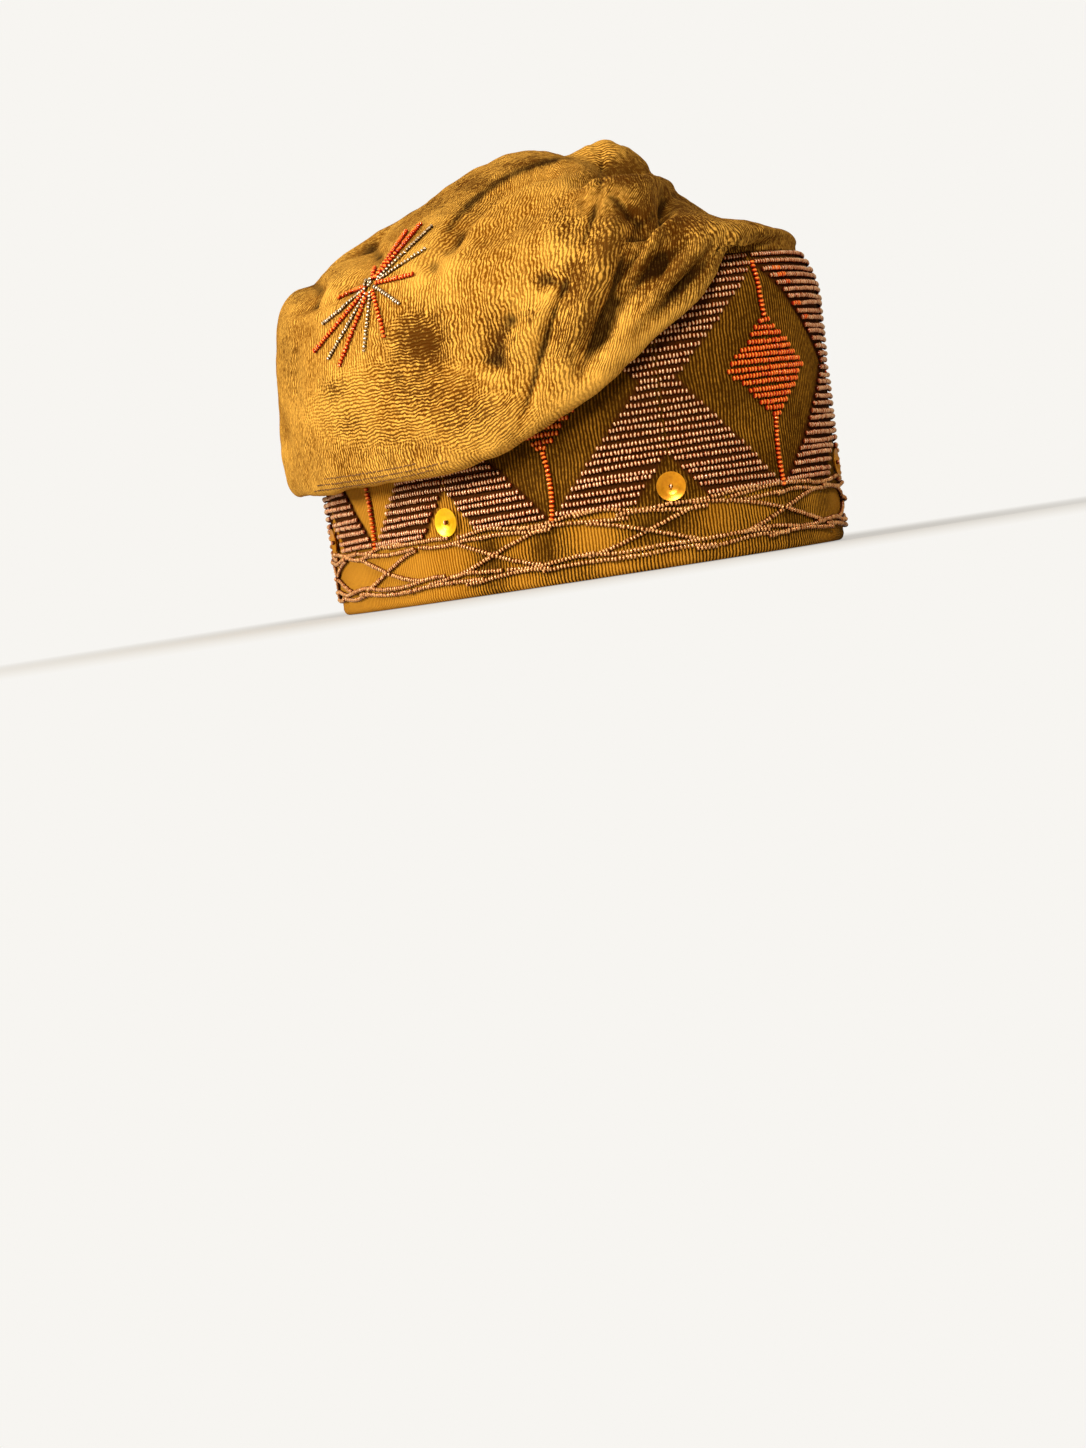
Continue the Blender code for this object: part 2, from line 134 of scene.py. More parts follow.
# The same for the far side, as seen from behind
BACK_FOLDS = (
    ("main back groove", (-30, 152), (-4, 132), (8, 106), 7, 6, -6.0),
    ("main back ridge", (-14, 154), (12, 136), (26, 110), 7, 8, 4.0),
    ("side back groove", (14, 150), (44, 134), (62, 112), 7, 6, -5.5),
    ("side back ridge", (30, 146), (62, 128), (78, 108), 8, 7, 3.5),
    ("near side groove", (-44, 146), (-46, 128), (-40, 108), 6, 7, -5.0),
    ("near side ridge", (-56, 144), (-60, 126), (-56, 106), 7, 6, 3.0),
    ("hanging side groove", (70, 118), (84, 92), (92, 66), 8, 8, -3.5),
)
# Over this range the photograph's folds give way to those of the back
FACING_RANGE = 0.45

# Finer folds, which only the looks have: the panel seam and short creases
FINE_FOLDS = (
    ("panel seam, upper", (28, 152), (23, 134), (11, 113), 1.7, 1.7, -1.8),
    ("panel seam, lower", (11, 113), (-4, 85), (-18, 55), 1.7, 1.7, -1.8),
    ("panel's right edge", (31, 130), (18, 108), (1, 78), 6.0, 3.0, 2.5),
    ("crease in the second roll", (47, 112), (36, 99), (28, 90), 1.8, 1.6, -1.6),
    ("crease in the edge roll", (66, 112), (54, 103), (42, 94), 1.8, 1.6, -1.4),
    ("crease by the star", (-37, 125), (-40, 116), (-44, 110), 2.5, 2.5, -1.2),
    ("fold under the peak", (27, 140), (33, 131), (36, 124), 2.5, 2.5, -2.2),
    ("short crease, middle", (2, 128), (-2, 120), (0, 112), 3.0, 3.0, -1.0),
)

# Thin lines of painted shade where the cloth folds over itself: as a fold, with the shade's darkness in place
# of the rise
CREASE_SHADE_LINES = (
    ("deep crease", (37, 126), (26, 106), (9, 78), 1.5, 1.2, 1.0),
    ("pocket", (35, 122), (44, 127), (51, 133), 1.8, 1.3, 1.0),
    ("right edge of the peak", (41, 152), (43.5, 145), (42, 138), 1.0, 1.6, 0.6),
    ("under the curled roll", (43, 137), (48, 136), (50, 132), 1.0, 1.2, 0.6),
    ("second groove", (52, 118), (37, 106), (18, 90), 1.0, 1.5, 0.25),
    ("third groove", (71, 116), (56, 104), (36, 88), 1.0, 1.5, 0.2),
    ("behind the main panel", (19, 151), (-12, 146), (-40, 124), 1.3, 1.7, 1.3),
    ("over the roll", (18, 142), (30, 141), (43, 139.5), 1.2, 1.0, 0.7),
    ("left of the star", (-54, 132), (-66, 124), (-76, 113), 1.2, 1.5, 0.15),
    ("far side", (-79, 125), (-86, 116), (-89, 105), 1.2, 1.2, 0.15),
    ("panel seam, upper", (28, 152), (23, 134), (11, 113), 0.7, 0.9, 0.45),
    ("panel seam, lower", (11, 113), (-4, 85), (-18, 55), 0.7, 0.9, 0.45),
)

# View of the photograph: from the wearer's right front, level with the rim
VIEW_ANGLE = math.radians(41.0)
VIEW_DISTANCE = 1300.0 * MM
VIEW_HEIGHT = 10.0 * MM
VIEW_ACROSS = Vector((math.cos(VIEW_ANGLE), -math.sin(VIEW_ANGLE), 0.0))
VIEW_TOWARD = Vector((-math.sin(VIEW_ANGLE), -math.cos(VIEW_ANGLE), 0.0))
EYE = VIEW_TOWARD * VIEW_DISTANCE + Vector((0.0, 0.0, VIEW_HEIGHT))
AIM_ACROSS = -24.9 * MM
AIM_HEIGHT = -50.1 * MM
LENS = 88.6
ROLL = math.radians(8.85)

# Beadwork on the band: seven diamonds, with a small triangle and a sequin between each two
DIAMONDS = 7
DIAMOND_HALF = 35.0 * MM
DIAMOND_FOOT = 22.5 * MM
DIAMOND_WIDEST = 63.0 * MM
DIAMOND_TOP = 98.0 * MM
TRIANGLE_HALF = 13.0 * MM
TRIANGLE_FOOT = 21.0 * MM
TRIANGLE_TOP = 37.5 * MM
ROW_PITCH = 2.48 * MM
ROWS_FOOT = 23.5 * MM
ROWS_TOP = 101.0 * MM
COPPER_RADIUS = 0.9 * MM
STRAND_RADIUS = 0.86 * MM
COPPER_PITCH = 1.3 * MM
ORANGE_RADIUS = 0.96 * MM
ORANGE_PITCH = 1.35 * MM
LOZENGE_HALF = 17.5 * MM
LOZENGE_MIDDLE = 62.5 * MM
LOZENGE_PITCH = 2.28 * MM
BORDER_TOP = 24.0 * MM
CROSSES = 11
CROSS_HALF = 19.0 * MM
CROSS_MIDDLE = 13.6 * MM
CROSS_RISE = 5.6 * MM
SEQUIN_HEIGHT = 27.0 * MM
SEQUIN_LIFT = 0.35 * MM
KNOT_RADIUS = 0.95 * MM
KNOT_LENGTH = 1.1 * MM
KNOT_LIFT = 1.25 * MM
STITCH_RADIUS = 0.3 * MM
STITCH_LENGTH = 2.1 * MM
# Half of a sequin's section, out and up in millimetres: a shallow cup with a raised rim, round a hole
SEQUIN_SECTION = (
    (0.7, 0.10), (0.7, 0.35), (2.6, 0.42), (2.9, 0.55), (4.7, 1.25), (5.0, 1.28), (5.0, 1.12), (2.95, 0.25),
    (2.6, 0.08),
)

# Starburst on the crown: tips of the rays, across and up in millimetres from the photograph's view
STAR_CENTRE = (-61.7, 117.2)
STAR_ORANGE_RADIUS = 0.95 * MM
STAR_ORANGE_PITCH = 1.5 * MM
STAR_SILVER_RADIUS = 0.72 * MM
STAR_SILVER_PITCH = 1.35 * MM
# A ray ends where the cloth falls away by more than this
STAR_JUMP = 6.0 * MM
STAR_CLUSTER = ((-1.2, 0.8), (0.6, 1.6), (-0.4, -1.0), (-2.0, -0.4), (0.9, 0.1))
ORANGE_RAYS = (
    (-56.3, 129.1), (-45.8, 134.1), (-40.4, 135.8), (-45.7, 118.3),
    (-59.7, 97.4), (-77.7, 89.6), (-85.6, 96.5), (-74.6, 113.9),
)
SILVER_RAYS = (
    (-36.6, 134.4), (-40.0, 126.9), (-52.4, 108.6), (-68.0, 93.6),
    (-81.4, 92.8), (-81.2, 105.9), (-65.5, 121.4),
)

rng = np.random.default_rng(7)


def smooth(value):
    """A soft step from 0 to 1."""
    clipped = np.clip(value, 0.0, 1.0)
    return clipped * clipped * (3.0 - 2.0 * clipped)


def blend(low, high, share):
    """A straight mix of two values."""
    return low + (high - low) * share


def periodic(angles, values, at):
    """A smooth curve through values at angles in degrees, which repeats after a full turn."""
    knots = np.concatenate((angles[-2:] - 360.0, angles, angles[:2] + 360.0))
    heights = np.concatenate((values[-2:], values, values[:2]))
    slopes = np.gradient(heights, knots)
    place = (at - knots[1]) % 360.0 + knots[1]
    cell = np.clip(np.searchsorted(knots, place, side="right") - 1, 0, len(knots) - 2)
    width = knots[cell + 1] - knots[cell]
    share = (place - knots[cell]) / width
    start_pull = share * (1.0 - share) ** 2 * width * slopes[cell]
    end_pull = share ** 2 * (share - 1.0) * width * slopes[cell + 1]
    return blend(heights[cell], heights[cell + 1], smooth(share)) + start_pull + end_pull


def on_band(angle, out, height):
    """Points at an angle round the band and a height, pushed out from its straight outside."""
    side = -HALF_DEPTH * np.sin(angle)
    front = -HALF_WIDTH * np.cos(angle)
    length = np.hypot(side, front)
    grow = 1.0 + BAND_FLARE * height
    x = -HALF_WIDTH * np.sin(angle) * grow + side / length * out + LEAN * math.cos(VIEW_ANGLE) * height
    y = -HALF_DEPTH * np.cos(angle) * grow + front / length * out - LEAN * math.sin(VIEW_ANGLE) * height
    return np.stack((x, y, height + np.zeros_like(x)), axis=-1)


def top_roll(height):
    """How far the band's outside has rolled inward at a height."""
    start = BAND_HEIGHT - TOP_ROLL_HEIGHT
    return TOP_ROLL_IN * np.clip((height - start) / TOP_ROLL_HEIGHT, 0.0, None) ** 2


FINE_ANGLES = np.linspace(0.0, 2.0 * math.pi, 2881)
RIM = on_band(FINE_ANGLES, 0.0, 0.0)
RIM_ARCS = np.concatenate(([0.0], np.cumsum(np.linalg.norm(np.diff(RIM, axis=0), axis=-1))))
GIRTH = RIM_ARCS[-1]
UNIT = GIRTH / DIAMONDS


def angle_at(arc):
    """The angle round the cap at an arc from the front."""
    turns = np.floor(arc / GIRTH)
    return np.interp(arc - turns * GIRTH, RIM_ARCS, FINE_ANGLES) + turns * 2.0 * math.pi


def on_velvet(arc, height, lift):
    """Points over the band's velvet, at arcs from the front and heights."""
    return on_band(angle_at(arc), lift - top_roll(height), height)


def outward(arc, height):
    """Directions straight out of the band's velvet."""
    lean = np.gradient(-top_roll(np.linspace(0.0, BAND_HEIGHT, 103)), BAND_HEIGHT / 102.0)
    slope = np.interp(height, np.linspace(0.0, BAND_HEIGHT, 103), lean)
    flat = on_velvet(arc, height, MM) - on_velvet(arc, height, 0.0)
    flat /= np.linalg.norm(flat, axis=-1, keepdims=True)
    flat[..., 2] -= slope
    return flat / np.linalg.norm(flat, axis=-1, keepdims=True)


def spline(points, share):
    """A clamped cubic B-spline through a chain of control points, at shares of its length from 0 to 1."""
    chain = np.concatenate((points[:1], points[:1], points, points[-1:], points[-1:]))
    spans = len(chain) - 3
    place = share * spans
    cell = np.minimum(place.astype(int), spans - 1)
    t = (place - cell)[:, None, None]
    weights = (
        (1.0 - t) ** 3 / 6.0,
        (3.0 * t ** 3 - 6.0 * t ** 2 + 4.0) / 6.0,
        (-3.0 * t ** 3 + 3.0 * t ** 2 + 3.0 * t + 1.0) / 6.0,
        t ** 3 / 6.0,
    )
    return sum(weight * chain[cell + step] for step, weight in enumerate(weights))


def crown_sections(angle):
    """The table's columns at each angle, in metres."""
    table = np.array(SECTIONS, dtype=float)
    degrees = np.degrees(angle)
    values = {}
    for column, name in enumerate(SECTION_COLUMNS[1:], start=1):
        values[name] = periodic(table[:, 0], table[:, column], degrees) * MM
    return values


def crown_profiles(angle):
    """Control points of each section's outline, from the seam to the pole."""
    section = crown_sections(angle)
    seam_z = BAND_HEIGHT + SEAM_GAP
    seam_in = -TOP_ROLL_IN - 0.5 * MM
    hang = smooth((seam_z - section["edge_z"]) / HANG_BLEND)
    edge_z = section["edge_z"]
    out = section["side_out"]
    inner = blend(seam_in, INNER_CLEARANCE, hang)
    rows = (
        (seam_in, seam_z),
        (blend(seam_in, -5.0 * MM, hang), seam_z + blend(0.8, 2.5, hang) * MM),
        (blend(seam_in, -1.0 * MM, hang), seam_z + blend(1.3, 4.0, hang) * MM),
        (blend(seam_in, 3.5 * MM, hang), seam_z + blend(1.8, 1.0, hang) * MM),
        (inner, blend(seam_z + 2.2 * MM, blend(edge_z, seam_z, 0.7), hang)),
        (inner, blend(seam_z + 2.6 * MM, edge_z + 6.0 * MM, hang)),
        (blend(inner, out, 0.15), blend(seam_z + 3.0 * MM, edge_z - 1.5 * MM, hang)),
        (blend(inner, out, 0.9), blend(seam_z + 3.3 * MM, edge_z - 1.5 * MM, hang)),
        (out + 0.5 * MM * hang, blend(seam_z + 3.8 * MM, edge_z + 10.0 * MM, hang)),
        (out, section["side_z"]),
        (section["upper_out"], section["upper_z"]),
        (section["shoulder_out"], section["shoulder_z"]),
        (section["roof_out"], section["roof_z"]),
    )
    return np.array([on_band(angle, across, height) for across, height in rows])


def crown_angles(columns):
    """Angles round the cap, set closer together on the side that hangs."""
    fine = np.linspace(0.0, 2.0 * math.pi, 1441)
    crowding = 1.0 + 1.2 * np.clip(np.cos(fine - VIEW_ANGLE) + 0.2, 0.0, None)
    total = np.concatenate(([0.0], np.cumsum(crowding[1:] + crowding[:-1])))
    return np.interp(np.arange(columns) / columns, total / total[-1], fine)


def crown_surface(angle, rows):
    """The crown's outer face as points: rows from the seam to the pole, columns round the cap."""
    columns = len(angle)
    profiles = crown_profiles(angle)
    pole = np.broadcast_to(np.array(POLE), profiles[:1].shape)
    near_pole = blend(profiles[-1:], pole, 0.55)
    near_pole[..., 2] = blend(profiles[-1:, :, 2], pole[..., 2], 0.85)
    dense = spline(np.concatenate((profiles, near_pole, pole)), np.linspace(0.0, 1.0, 600))
    steps = np.linalg.norm(np.diff(dense, axis=0), axis=-1)
    lengths = np.concatenate((np.zeros((1, columns)), np.cumsum(steps, axis=0)))
    wanted = np.linspace(0.0, 1.0, rows + 1)
    grid = np.empty((rows + 1, columns, 3))
    for column in range(columns):
        along = lengths[:, column] / lengths[-1, column]
        for axis in range(3):
            grid[:, column, axis] = np.interp(wanted, along, dense[:, column, axis])
    return grid, wanted[:, None] * lengths[-1]


def seen(points):
    """Places across and up, as they look from the photograph's view."""
    across = points @ np.array(VIEW_ACROSS)
    nearness = VIEW_DISTANCE / (VIEW_DISTANCE - points @ np.array(VIEW_TOWARD))
    return across * nearness, VIEW_HEIGHT + (points[..., 2] - VIEW_HEIGHT) * nearness


def surface_normals(grid):
    """Outward directions over a grid of rows and columns, whose columns close on themselves."""
    around = np.roll(grid, -1, axis=1) - np.roll(grid, 1, axis=1)
    up = np.gradient(grid, axis=0)
    normals = np.cross(up, around)
    normals /= np.maximum(np.linalg.norm(normals, axis=-1, keepdims=True), 1e-9)
    return normals


def lumped(grid):
    """The crown's outer face with the lumps of its top raised."""
    upward = smooth(surface_normals(grid)[..., 2] / 0.5)
    raised = grid.copy()
    for _, x, y, radius, height in LUMPS:
        distance = np.hypot(grid[..., 0] - x * MM, grid[..., 1] - y * MM)
        raised[..., 2] += height * MM * np.exp(-((distance / (radius * MM)) ** 2)) * upward
    return raised


def curve_through(start, middle, end, count):
    """Points in metres on a curve through three places in millimetres."""
    turn = 2.0 * np.array(middle) - 0.5 * (np.array(start) + np.array(end))
    share = np.linspace(0.0, 1.0, count)[:, None]
    return ((1.0 - share) ** 2 * start + 2.0 * share * (1.0 - share) * turn + share ** 2 * end) * MM


def fold_rise(across, up, fold):
    """How far one fold lifts or sinks the cloth at places across and up."""
    _, start, middle, end, width_left, width_right, rise = fold
    run = curve_through(start, middle, end, 13)
    nearest = np.full(across.shape, np.inf)
    total = np.zeros(across.shape)
    for step, (first, last) in enumerate(zip(run[:-1], run[1:])):
        way = last - first
        size = np.hypot(*way)
        ahead = ((across - first[0]) * way[0] + (up - first[1]) * way[1]) / size ** 2
        ahead = np.clip(ahead, 0.0, 1.0)
        offset_across = across - first[0] - ahead * way[0]
        offset_up = up - first[1] - ahead * way[1]
        distance = np.hypot(offset_across, offset_up)
        turned_left = way[0] * offset_up - way[1] * offset_across > 0.0
        width = np.where(turned_left, width_left, width_right) * MM
        place = (step + ahead) / (len(run) - 1)
        taper = smooth(place / 0.2) * smooth((1.0 - place) / 0.25)
        lift = rise * MM * np.exp(-((distance / width) ** 2)) * blend(0.25, 1.0, taper)
        closer = distance < nearest
        total = np.where(closer, lift, total)
        nearest = np.where(closer, distance, nearest)
    return total


def from_pole(grid):
    """How far places are from the pole, seen from above."""
    return np.hypot(grid[..., 0] - POLE.x, grid[..., 1] - POLE.y)


def off_pole(grid):
    """0 at the pole, growing to 1 around it."""
    return smooth((from_pole(grid) - POLE_CALM) / POLE_EASE)


def hollowness(grid, reach):
    """How hollow the cloth is over a reach of steps: above 0 in creases and below 0 on ridges, in metres."""
    ends = (np.repeat(grid[:1], reach, axis=0), grid, np.repeat(grid[-1:], reach, axis=0))
    tall = np.concatenate(ends)
    along = (tall[2 * reach:] + tall[:-2 * reach]) / 2.0 - grid
    around = (np.roll(grid, reach, axis=1) + np.roll(grid, -reach, axis=1)) / 2.0 - grid
    return np.sum((along + around) * surface_normals(grid), axis=-1)


def folded(grid, angle, folds, back_folds):
    """The crown's outer face with folds pressed in."""
    normals = surface_normals(grid)
    facing = normals @ np.array(VIEW_TOWARD)
    across, up = seen(grid)
    depth = sum(fold_rise(across, up, fold) for fold in folds) * smooth(facing / FACING_RANGE + 0.5)
    if back_folds:
        back = sum(fold_rise(-across, up, fold) for fold in back_folds)
        depth = depth + back * smooth(0.5 - facing / FACING_RANGE)
    rows = len(grid) - 1
    row = np.arange(rows + 1)[:, None]
    depth = depth * smooth(row / (0.08 * rows)) * off_pole(grid)
    foot = on_band(angle[None, :], 0.0, grid[..., 2])
    away = on_band(angle[None, :], MM, grid[..., 2]) - foot
    out = np.sum((grid - foot) * away, axis=-1) / MM
    thin = smooth((crown_sections(angle)["edge_z"] - THIN_FROM) / THIN_RANGE)
    least = LEAST_OUT + LEAST_OUT_THIN * thin[None, :]
    room = np.clip(out - least, 0.0, None) + np.clip(grid[..., 2] - FREE_ABOVE, 0.0, None)
    depth = np.maximum(depth, -room)
    return grid + normals * depth[..., None]


def rumpled(grid):
    """The crown's outer face with the uneven lie of soft cloth, from two sizes of noise."""
    normals = surface_normals(grid)
    rows = len(grid) - 1
    ends = smooth(np.arange(rows + 1) / (0.1 * rows))[:, None] * off_pole(grid)
    lift = np.empty(grid.shape[:2])
    for row, column in np.ndindex(lift.shape):
        place = Vector(grid[row, column])
        lift[row, column] = sum(height * noise.noise(place / length) for length, height in RUMPLES)
    return grid + normals * (lift * ends * MM)[..., None]


def linear(hex_colour):
    """An sRGB hex colour as linear red, green, blue and alpha."""
    channels = [int(hex_colour[place:place + 2], 16) / 255.0 for place in (1, 3, 5)]
    return tuple(c / 12.92 if c <= 0.04045 else ((c + 0.055) / 1.055) ** 2.4 for c in channels) + (1.0,)


def add_node(tree, kind, inputs=(), output=0, **settings):
    """One node, with its settings, and values or links for its input sockets; gives one of its outputs."""
    node = tree.nodes.new(kind)
    for name, value in settings.items():
        setattr(node, name, value)
    for socket, value in dict(inputs).items():
        if isinstance(value, bpy.types.NodeSocket):
            tree.links.new(value, node.inputs[socket])
        else:
            node.inputs[socket].default_value = value
    return node.outputs[output]


# The sockets and settings of a Mix node for colours, whose factor is its first socket
FACTOR, FIRST, SECOND = 0, 6, 7
COLOURS = {"output": 2, "data_type": "RGBA"}


def new_material(name, inputs):
    """A material with one Principled shader, and its node tree."""
    material = bpy.data.materials.new(name)
    material.use_nodes = True
    shader = material.node_tree.nodes["Principled BSDF"]
    for socket, value in inputs.items():
        shader.inputs[socket].default_value = value
    return material, material.node_tree, shader


def wave_scale(pitch):
    """The Wave texture's scale for ridges at a real pitch: its bands repeat after 0.314 units."""
    return 0.31416 / pitch


# The streaks of the velvet's pile, and their turn in degrees on top of the crown
STREAK_PITCH = 1.2 * MM
TOP_TURN = -50
# The velvet's noises: cells in a metre, detail, roughness and output. Streaks wander over some 17 mm, the
# pile breaks at 1.6 mm, its nap leans in patches of 26 mm, and patches of brushed pile and painted shade are
# mottled at 5.6 mm.
VELVET_NOISES = (
    (60.0, 2.0, 0.5, "Color"), (620.0, 4.0, 0.7, "Fac"), (38.0, 3.0, 0.6, "Fac"), (180.0, 5.0, 0.75, "Fac"),
)


def velvet(name, colours, wander, distortion, turns, sheen, mottling, gaps):
    """Cotton velvet: a cut pile in combed streaks, with a painted highlight on ridges and painted shade in
    creases, brown in patches of brushed pile and painted shade, and dark with thread and painted shade under
    bead rows.
    """
    dark, middle, light, brushed_and_shade = (linear(colour) for colour in colours)
    material, tree, shader = new_material(name, {
        "Roughness": 0.75, "Specular IOR Level": 0.02, "Sheen Weight": sheen, "Sheen Roughness": 0.3,
        "Sheen Tint": linear("#FFB850"),
    })
    cloth = add_node(tree, "ShaderNodeUVMap", uv_map="cloth")
    place = add_node(tree, "ShaderNodeTexCoord", output="Object")
    drift, grain, ways, mottle = (
        add_node(tree, "ShaderNodeTexNoise", {
            "Vector": place, "Scale": cells, "Detail": detail, "Roughness": roughness,
        }, output)
        for cells, detail, roughness, output in VELVET_NOISES
    )
    # Marks read from the mesh: hollow for painted shade in creases and a painted highlight on ridges, brushed
    # pile with painted shade, and dark thread with painted shade under bead rows
    folds, brushing_and_shade, under = (
        add_node(tree, "ShaderNodeAttribute", output="Fac", attribute_name=mark)
        for mark in ("hollow", "brushed_and_shade", "beaded")
    )
    shift = add_node(tree, "ShaderNodeVectorMath", {0: drift, 1: (0.5, 0.5, 0.5)}, operation="SUBTRACT")
    pull = add_node(tree, "ShaderNodeVectorMath", {0: shift, "Scale": wander}, operation="SCALE")
    streaks = []
    for source, turn in [(cloth, turn) for turn in turns] + [(place, TOP_TURN)]:
        combed = add_node(tree, "ShaderNodeVectorMath", {0: source, 1: pull}, operation="ADD")
        turned = add_node(tree, "ShaderNodeVectorRotate", {
            "Vector": combed, "Angle": math.radians(turn),
        }, rotation_type="Z_AXIS")
        streaks.append(add_node(tree, "ShaderNodeTexWave", {
            "Vector": turned, "Scale": wave_scale(STREAK_PITCH), "Distortion": distortion, "Detail": 3.0,
            "Detail Scale": 0.55, "Detail Roughness": 0.65,
        }, "Fac", bands_direction="X"))
    pile = streaks[0]
    for mark, streak in zip(("combed across", "combed aslant")[:len(turns) - 1] + ("on top",), streaks[1:]):
        way = add_node(tree, "ShaderNodeAttribute", output="Fac", attribute_name=mark)
        pile = add_node(tree, "ShaderNodeMix", {0: way, 2: pile, 3: streak}, data_type="FLOAT")
    stroke = add_node(tree, "ShaderNodeMapRange", {
        "Value": pile, "From Min": 0.12, "From Max": 0.8,
    }, interpolation_type="SMOOTHSTEP")
    broken = add_node(tree, "ShaderNodeMapRange", {
        "Value": grain, "From Min": 0.34, "From Max": 0.62, "To Min": gaps, "To Max": 1.15,
    })
    nap = add_node(tree, "ShaderNodeMath", {0: stroke, 1: broken}, operation="MULTIPLY")
    lean = add_node(tree, "ShaderNodeMapRange", {
        "Value": ways, "From Min": 0.35, "From Max": 0.68, "To Min": -0.22, "To Max": 0.28,
    })
    # Painted highlight: ridges, where the hollow mark is below its middle, are lifted toward the light colour
    ridge = add_node(tree, "ShaderNodeMapRange", {
        "Value": folds, "From Min": 0.5, "From Max": 0.0, "To Min": 0.0, "To Max": 0.45,
    })
    lift = add_node(tree, "ShaderNodeMath", {0: lean, 1: ridge}, operation="ADD")
    raised = add_node(tree, "ShaderNodeMath", {0: nap, 1: lift}, operation="ADD")
    lit = add_node(tree, "ShaderNodeMapRange", {"Value": raised})
    shade = add_node(tree, "ShaderNodeMix", {FACTOR: lit, FIRST: middle, SECOND: light}, **COLOURS)
    uneven = add_node(tree, "ShaderNodeMapRange", {
        "Value": mottle, "From Min": 0.2, "From Max": 0.8, "To Min": 0.5 - mottling, "To Max": 0.5 + mottling,
    })
    specks = add_node(tree, "ShaderNodeMath", {0: nap, 1: -0.4}, operation="MULTIPLY")
    # Brown patches of brushed pile and of painted shade, with speckled edges
    patch = add_node(tree, "ShaderNodeMath", {0: brushing_and_shade, 1: uneven}, operation="ADD")
    speckled = add_node(tree, "ShaderNodeMath", {0: patch, 1: specks}, operation="ADD")
    edge = add_node(tree, "ShaderNodeMapRange", {
        "Value": speckled, "From Min": 0.48, "From Max": 0.86, "To Max": 0.92,
    })
    patched_and_shaded = add_node(tree, "ShaderNodeMix", {FACTOR: edge, FIRST: shade, SECOND: brushed_and_shade}, **COLOURS)
    # Painted shade: creases, where the hollow mark is above 0.6, darken toward the dark colour
    deep = add_node(tree, "ShaderNodeMapRange", {
        "Value": folds, "From Min": 0.6, "From Max": 1.05, "To Max": 0.88,
    })
    creased = add_node(tree, "ShaderNodeMix", {FACTOR: deep, FIRST: patched_and_shaded, SECOND: dark}, **COLOURS)
    # Dark thread and painted shade between bead rows
    thread_and_shade = add_node(tree, "ShaderNodeMix", {
        FACTOR: under, FIRST: creased, SECOND: linear("#422006"),
    }, **COLOURS)
    tree.links.new(thread_and_shade, shader.inputs["Base Color"])
    relief = add_node(tree, "ShaderNodeBump", {"Height": nap, "Strength": 0.7, "Distance": 0.4 * MM})
    tree.links.new(relief, shader.inputs["Normal"])
    return material


def cloth_back():
    """Back of the velvet: a plain brown cotton weave at 0.6 mm, matt and even."""
    material, tree, shader = new_material("plain weave cotton backing", {"Roughness": 0.9})
    cloth = add_node(tree, "ShaderNodeUVMap", uv_map="cloth")
    warp, weft = (
        add_node(tree, "ShaderNodeTexWave", {
            "Vector": cloth, "Scale": wave_scale(0.6 * MM),
        }, "Fac", bands_direction=way)
        for way in ("X", "Y")
    )
    weave = add_node(tree, "ShaderNodeMath", {0: warp, 1: weft}, operation="MULTIPLY")
    colour = add_node(tree, "ShaderNodeMix", {
        FACTOR: weave, FIRST: linear("#4A3310"), SECOND: linear("#7A5A24"),
    }, **COLOURS)
    tree.links.new(colour, shader.inputs["Base Color"])
    relief = add_node(tree, "ShaderNodeBump", {"Height": weave, "Strength": 0.4, "Distance": 0.2 * MM})
    tree.links.new(relief, shader.inputs["Normal"])
    return material


def bead_finish(name, low, middle, high, inputs):
    """Glass beads or short stitches: painted shade at feet and ends, deep in colour on sides, and a painted
    highlight on crests.
    """
    material, tree, shader = new_material(name, inputs)
    tone = add_node(tree, "ShaderNodeAttribute", output="Fac", attribute_name="tone")
    # Below the middle tone the colour runs from painted shade to the bead's own colour; above it, to a
    # painted highlight
    side = add_node(tree, "ShaderNodeMapRange", {"Value": tone, "From Max": 0.4})
    painted_light = add_node(tree, "ShaderNodeMapRange", {"Value": tone, "From Min": 0.4})
    low, middle, high = (linear(colour) for colour in (low, middle, high))
    body = add_node(tree, "ShaderNodeMix", {FACTOR: side, FIRST: low, SECOND: middle}, **COLOURS)
    colour = add_node(tree, "ShaderNodeMix", {FACTOR: painted_light, FIRST: body, SECOND: high}, **COLOURS)
    tree.links.new(colour, shader.inputs["Base Color"])
    return material


def sequin_film(name, colour, edge):
    """Metallised plastic film, pressed into a cup: bright, with a faint uneven grain."""
    material, tree, shader = new_material(name, {"Metallic": 0.5, "Roughness": 0.28})
    place = add_node(tree, "ShaderNodeTexCoord", output="Object")
    marks = add_node(tree, "ShaderNodeTexNoise", {"Vector": place, "Scale": 900.0, "Detail": 2.0})
    mixed = add_node(tree, "ShaderNodeMix", {
        FACTOR: marks, FIRST: linear(colour), SECOND: linear(edge),
    }, **COLOURS)
    tree.links.new(mixed, shader.inputs["Base Color"])
    relief = add_node(tree, "ShaderNodeBump", {"Height": marks, "Strength": 0.25, "Distance": 0.1 * MM})
    tree.links.new(relief, shader.inputs["Normal"])
    return material


def to_mesh(name, shape):
    """A mesh of a bmesh, which is freed."""
    mesh = bpy.data.meshes.new(name)
    shape.to_mesh(mesh)
    shape.free()
    return mesh


def add_piece(name, mesh, slot, materials):
    """One piece of the cap, riding on its only body."""
    for material in materials:
        mesh.materials.append(material)
    piece = bpy.data.objects.new(name, mesh)
    bpy.context.scene.collection.objects.link(piece)
    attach(piece, "root")
    return piece


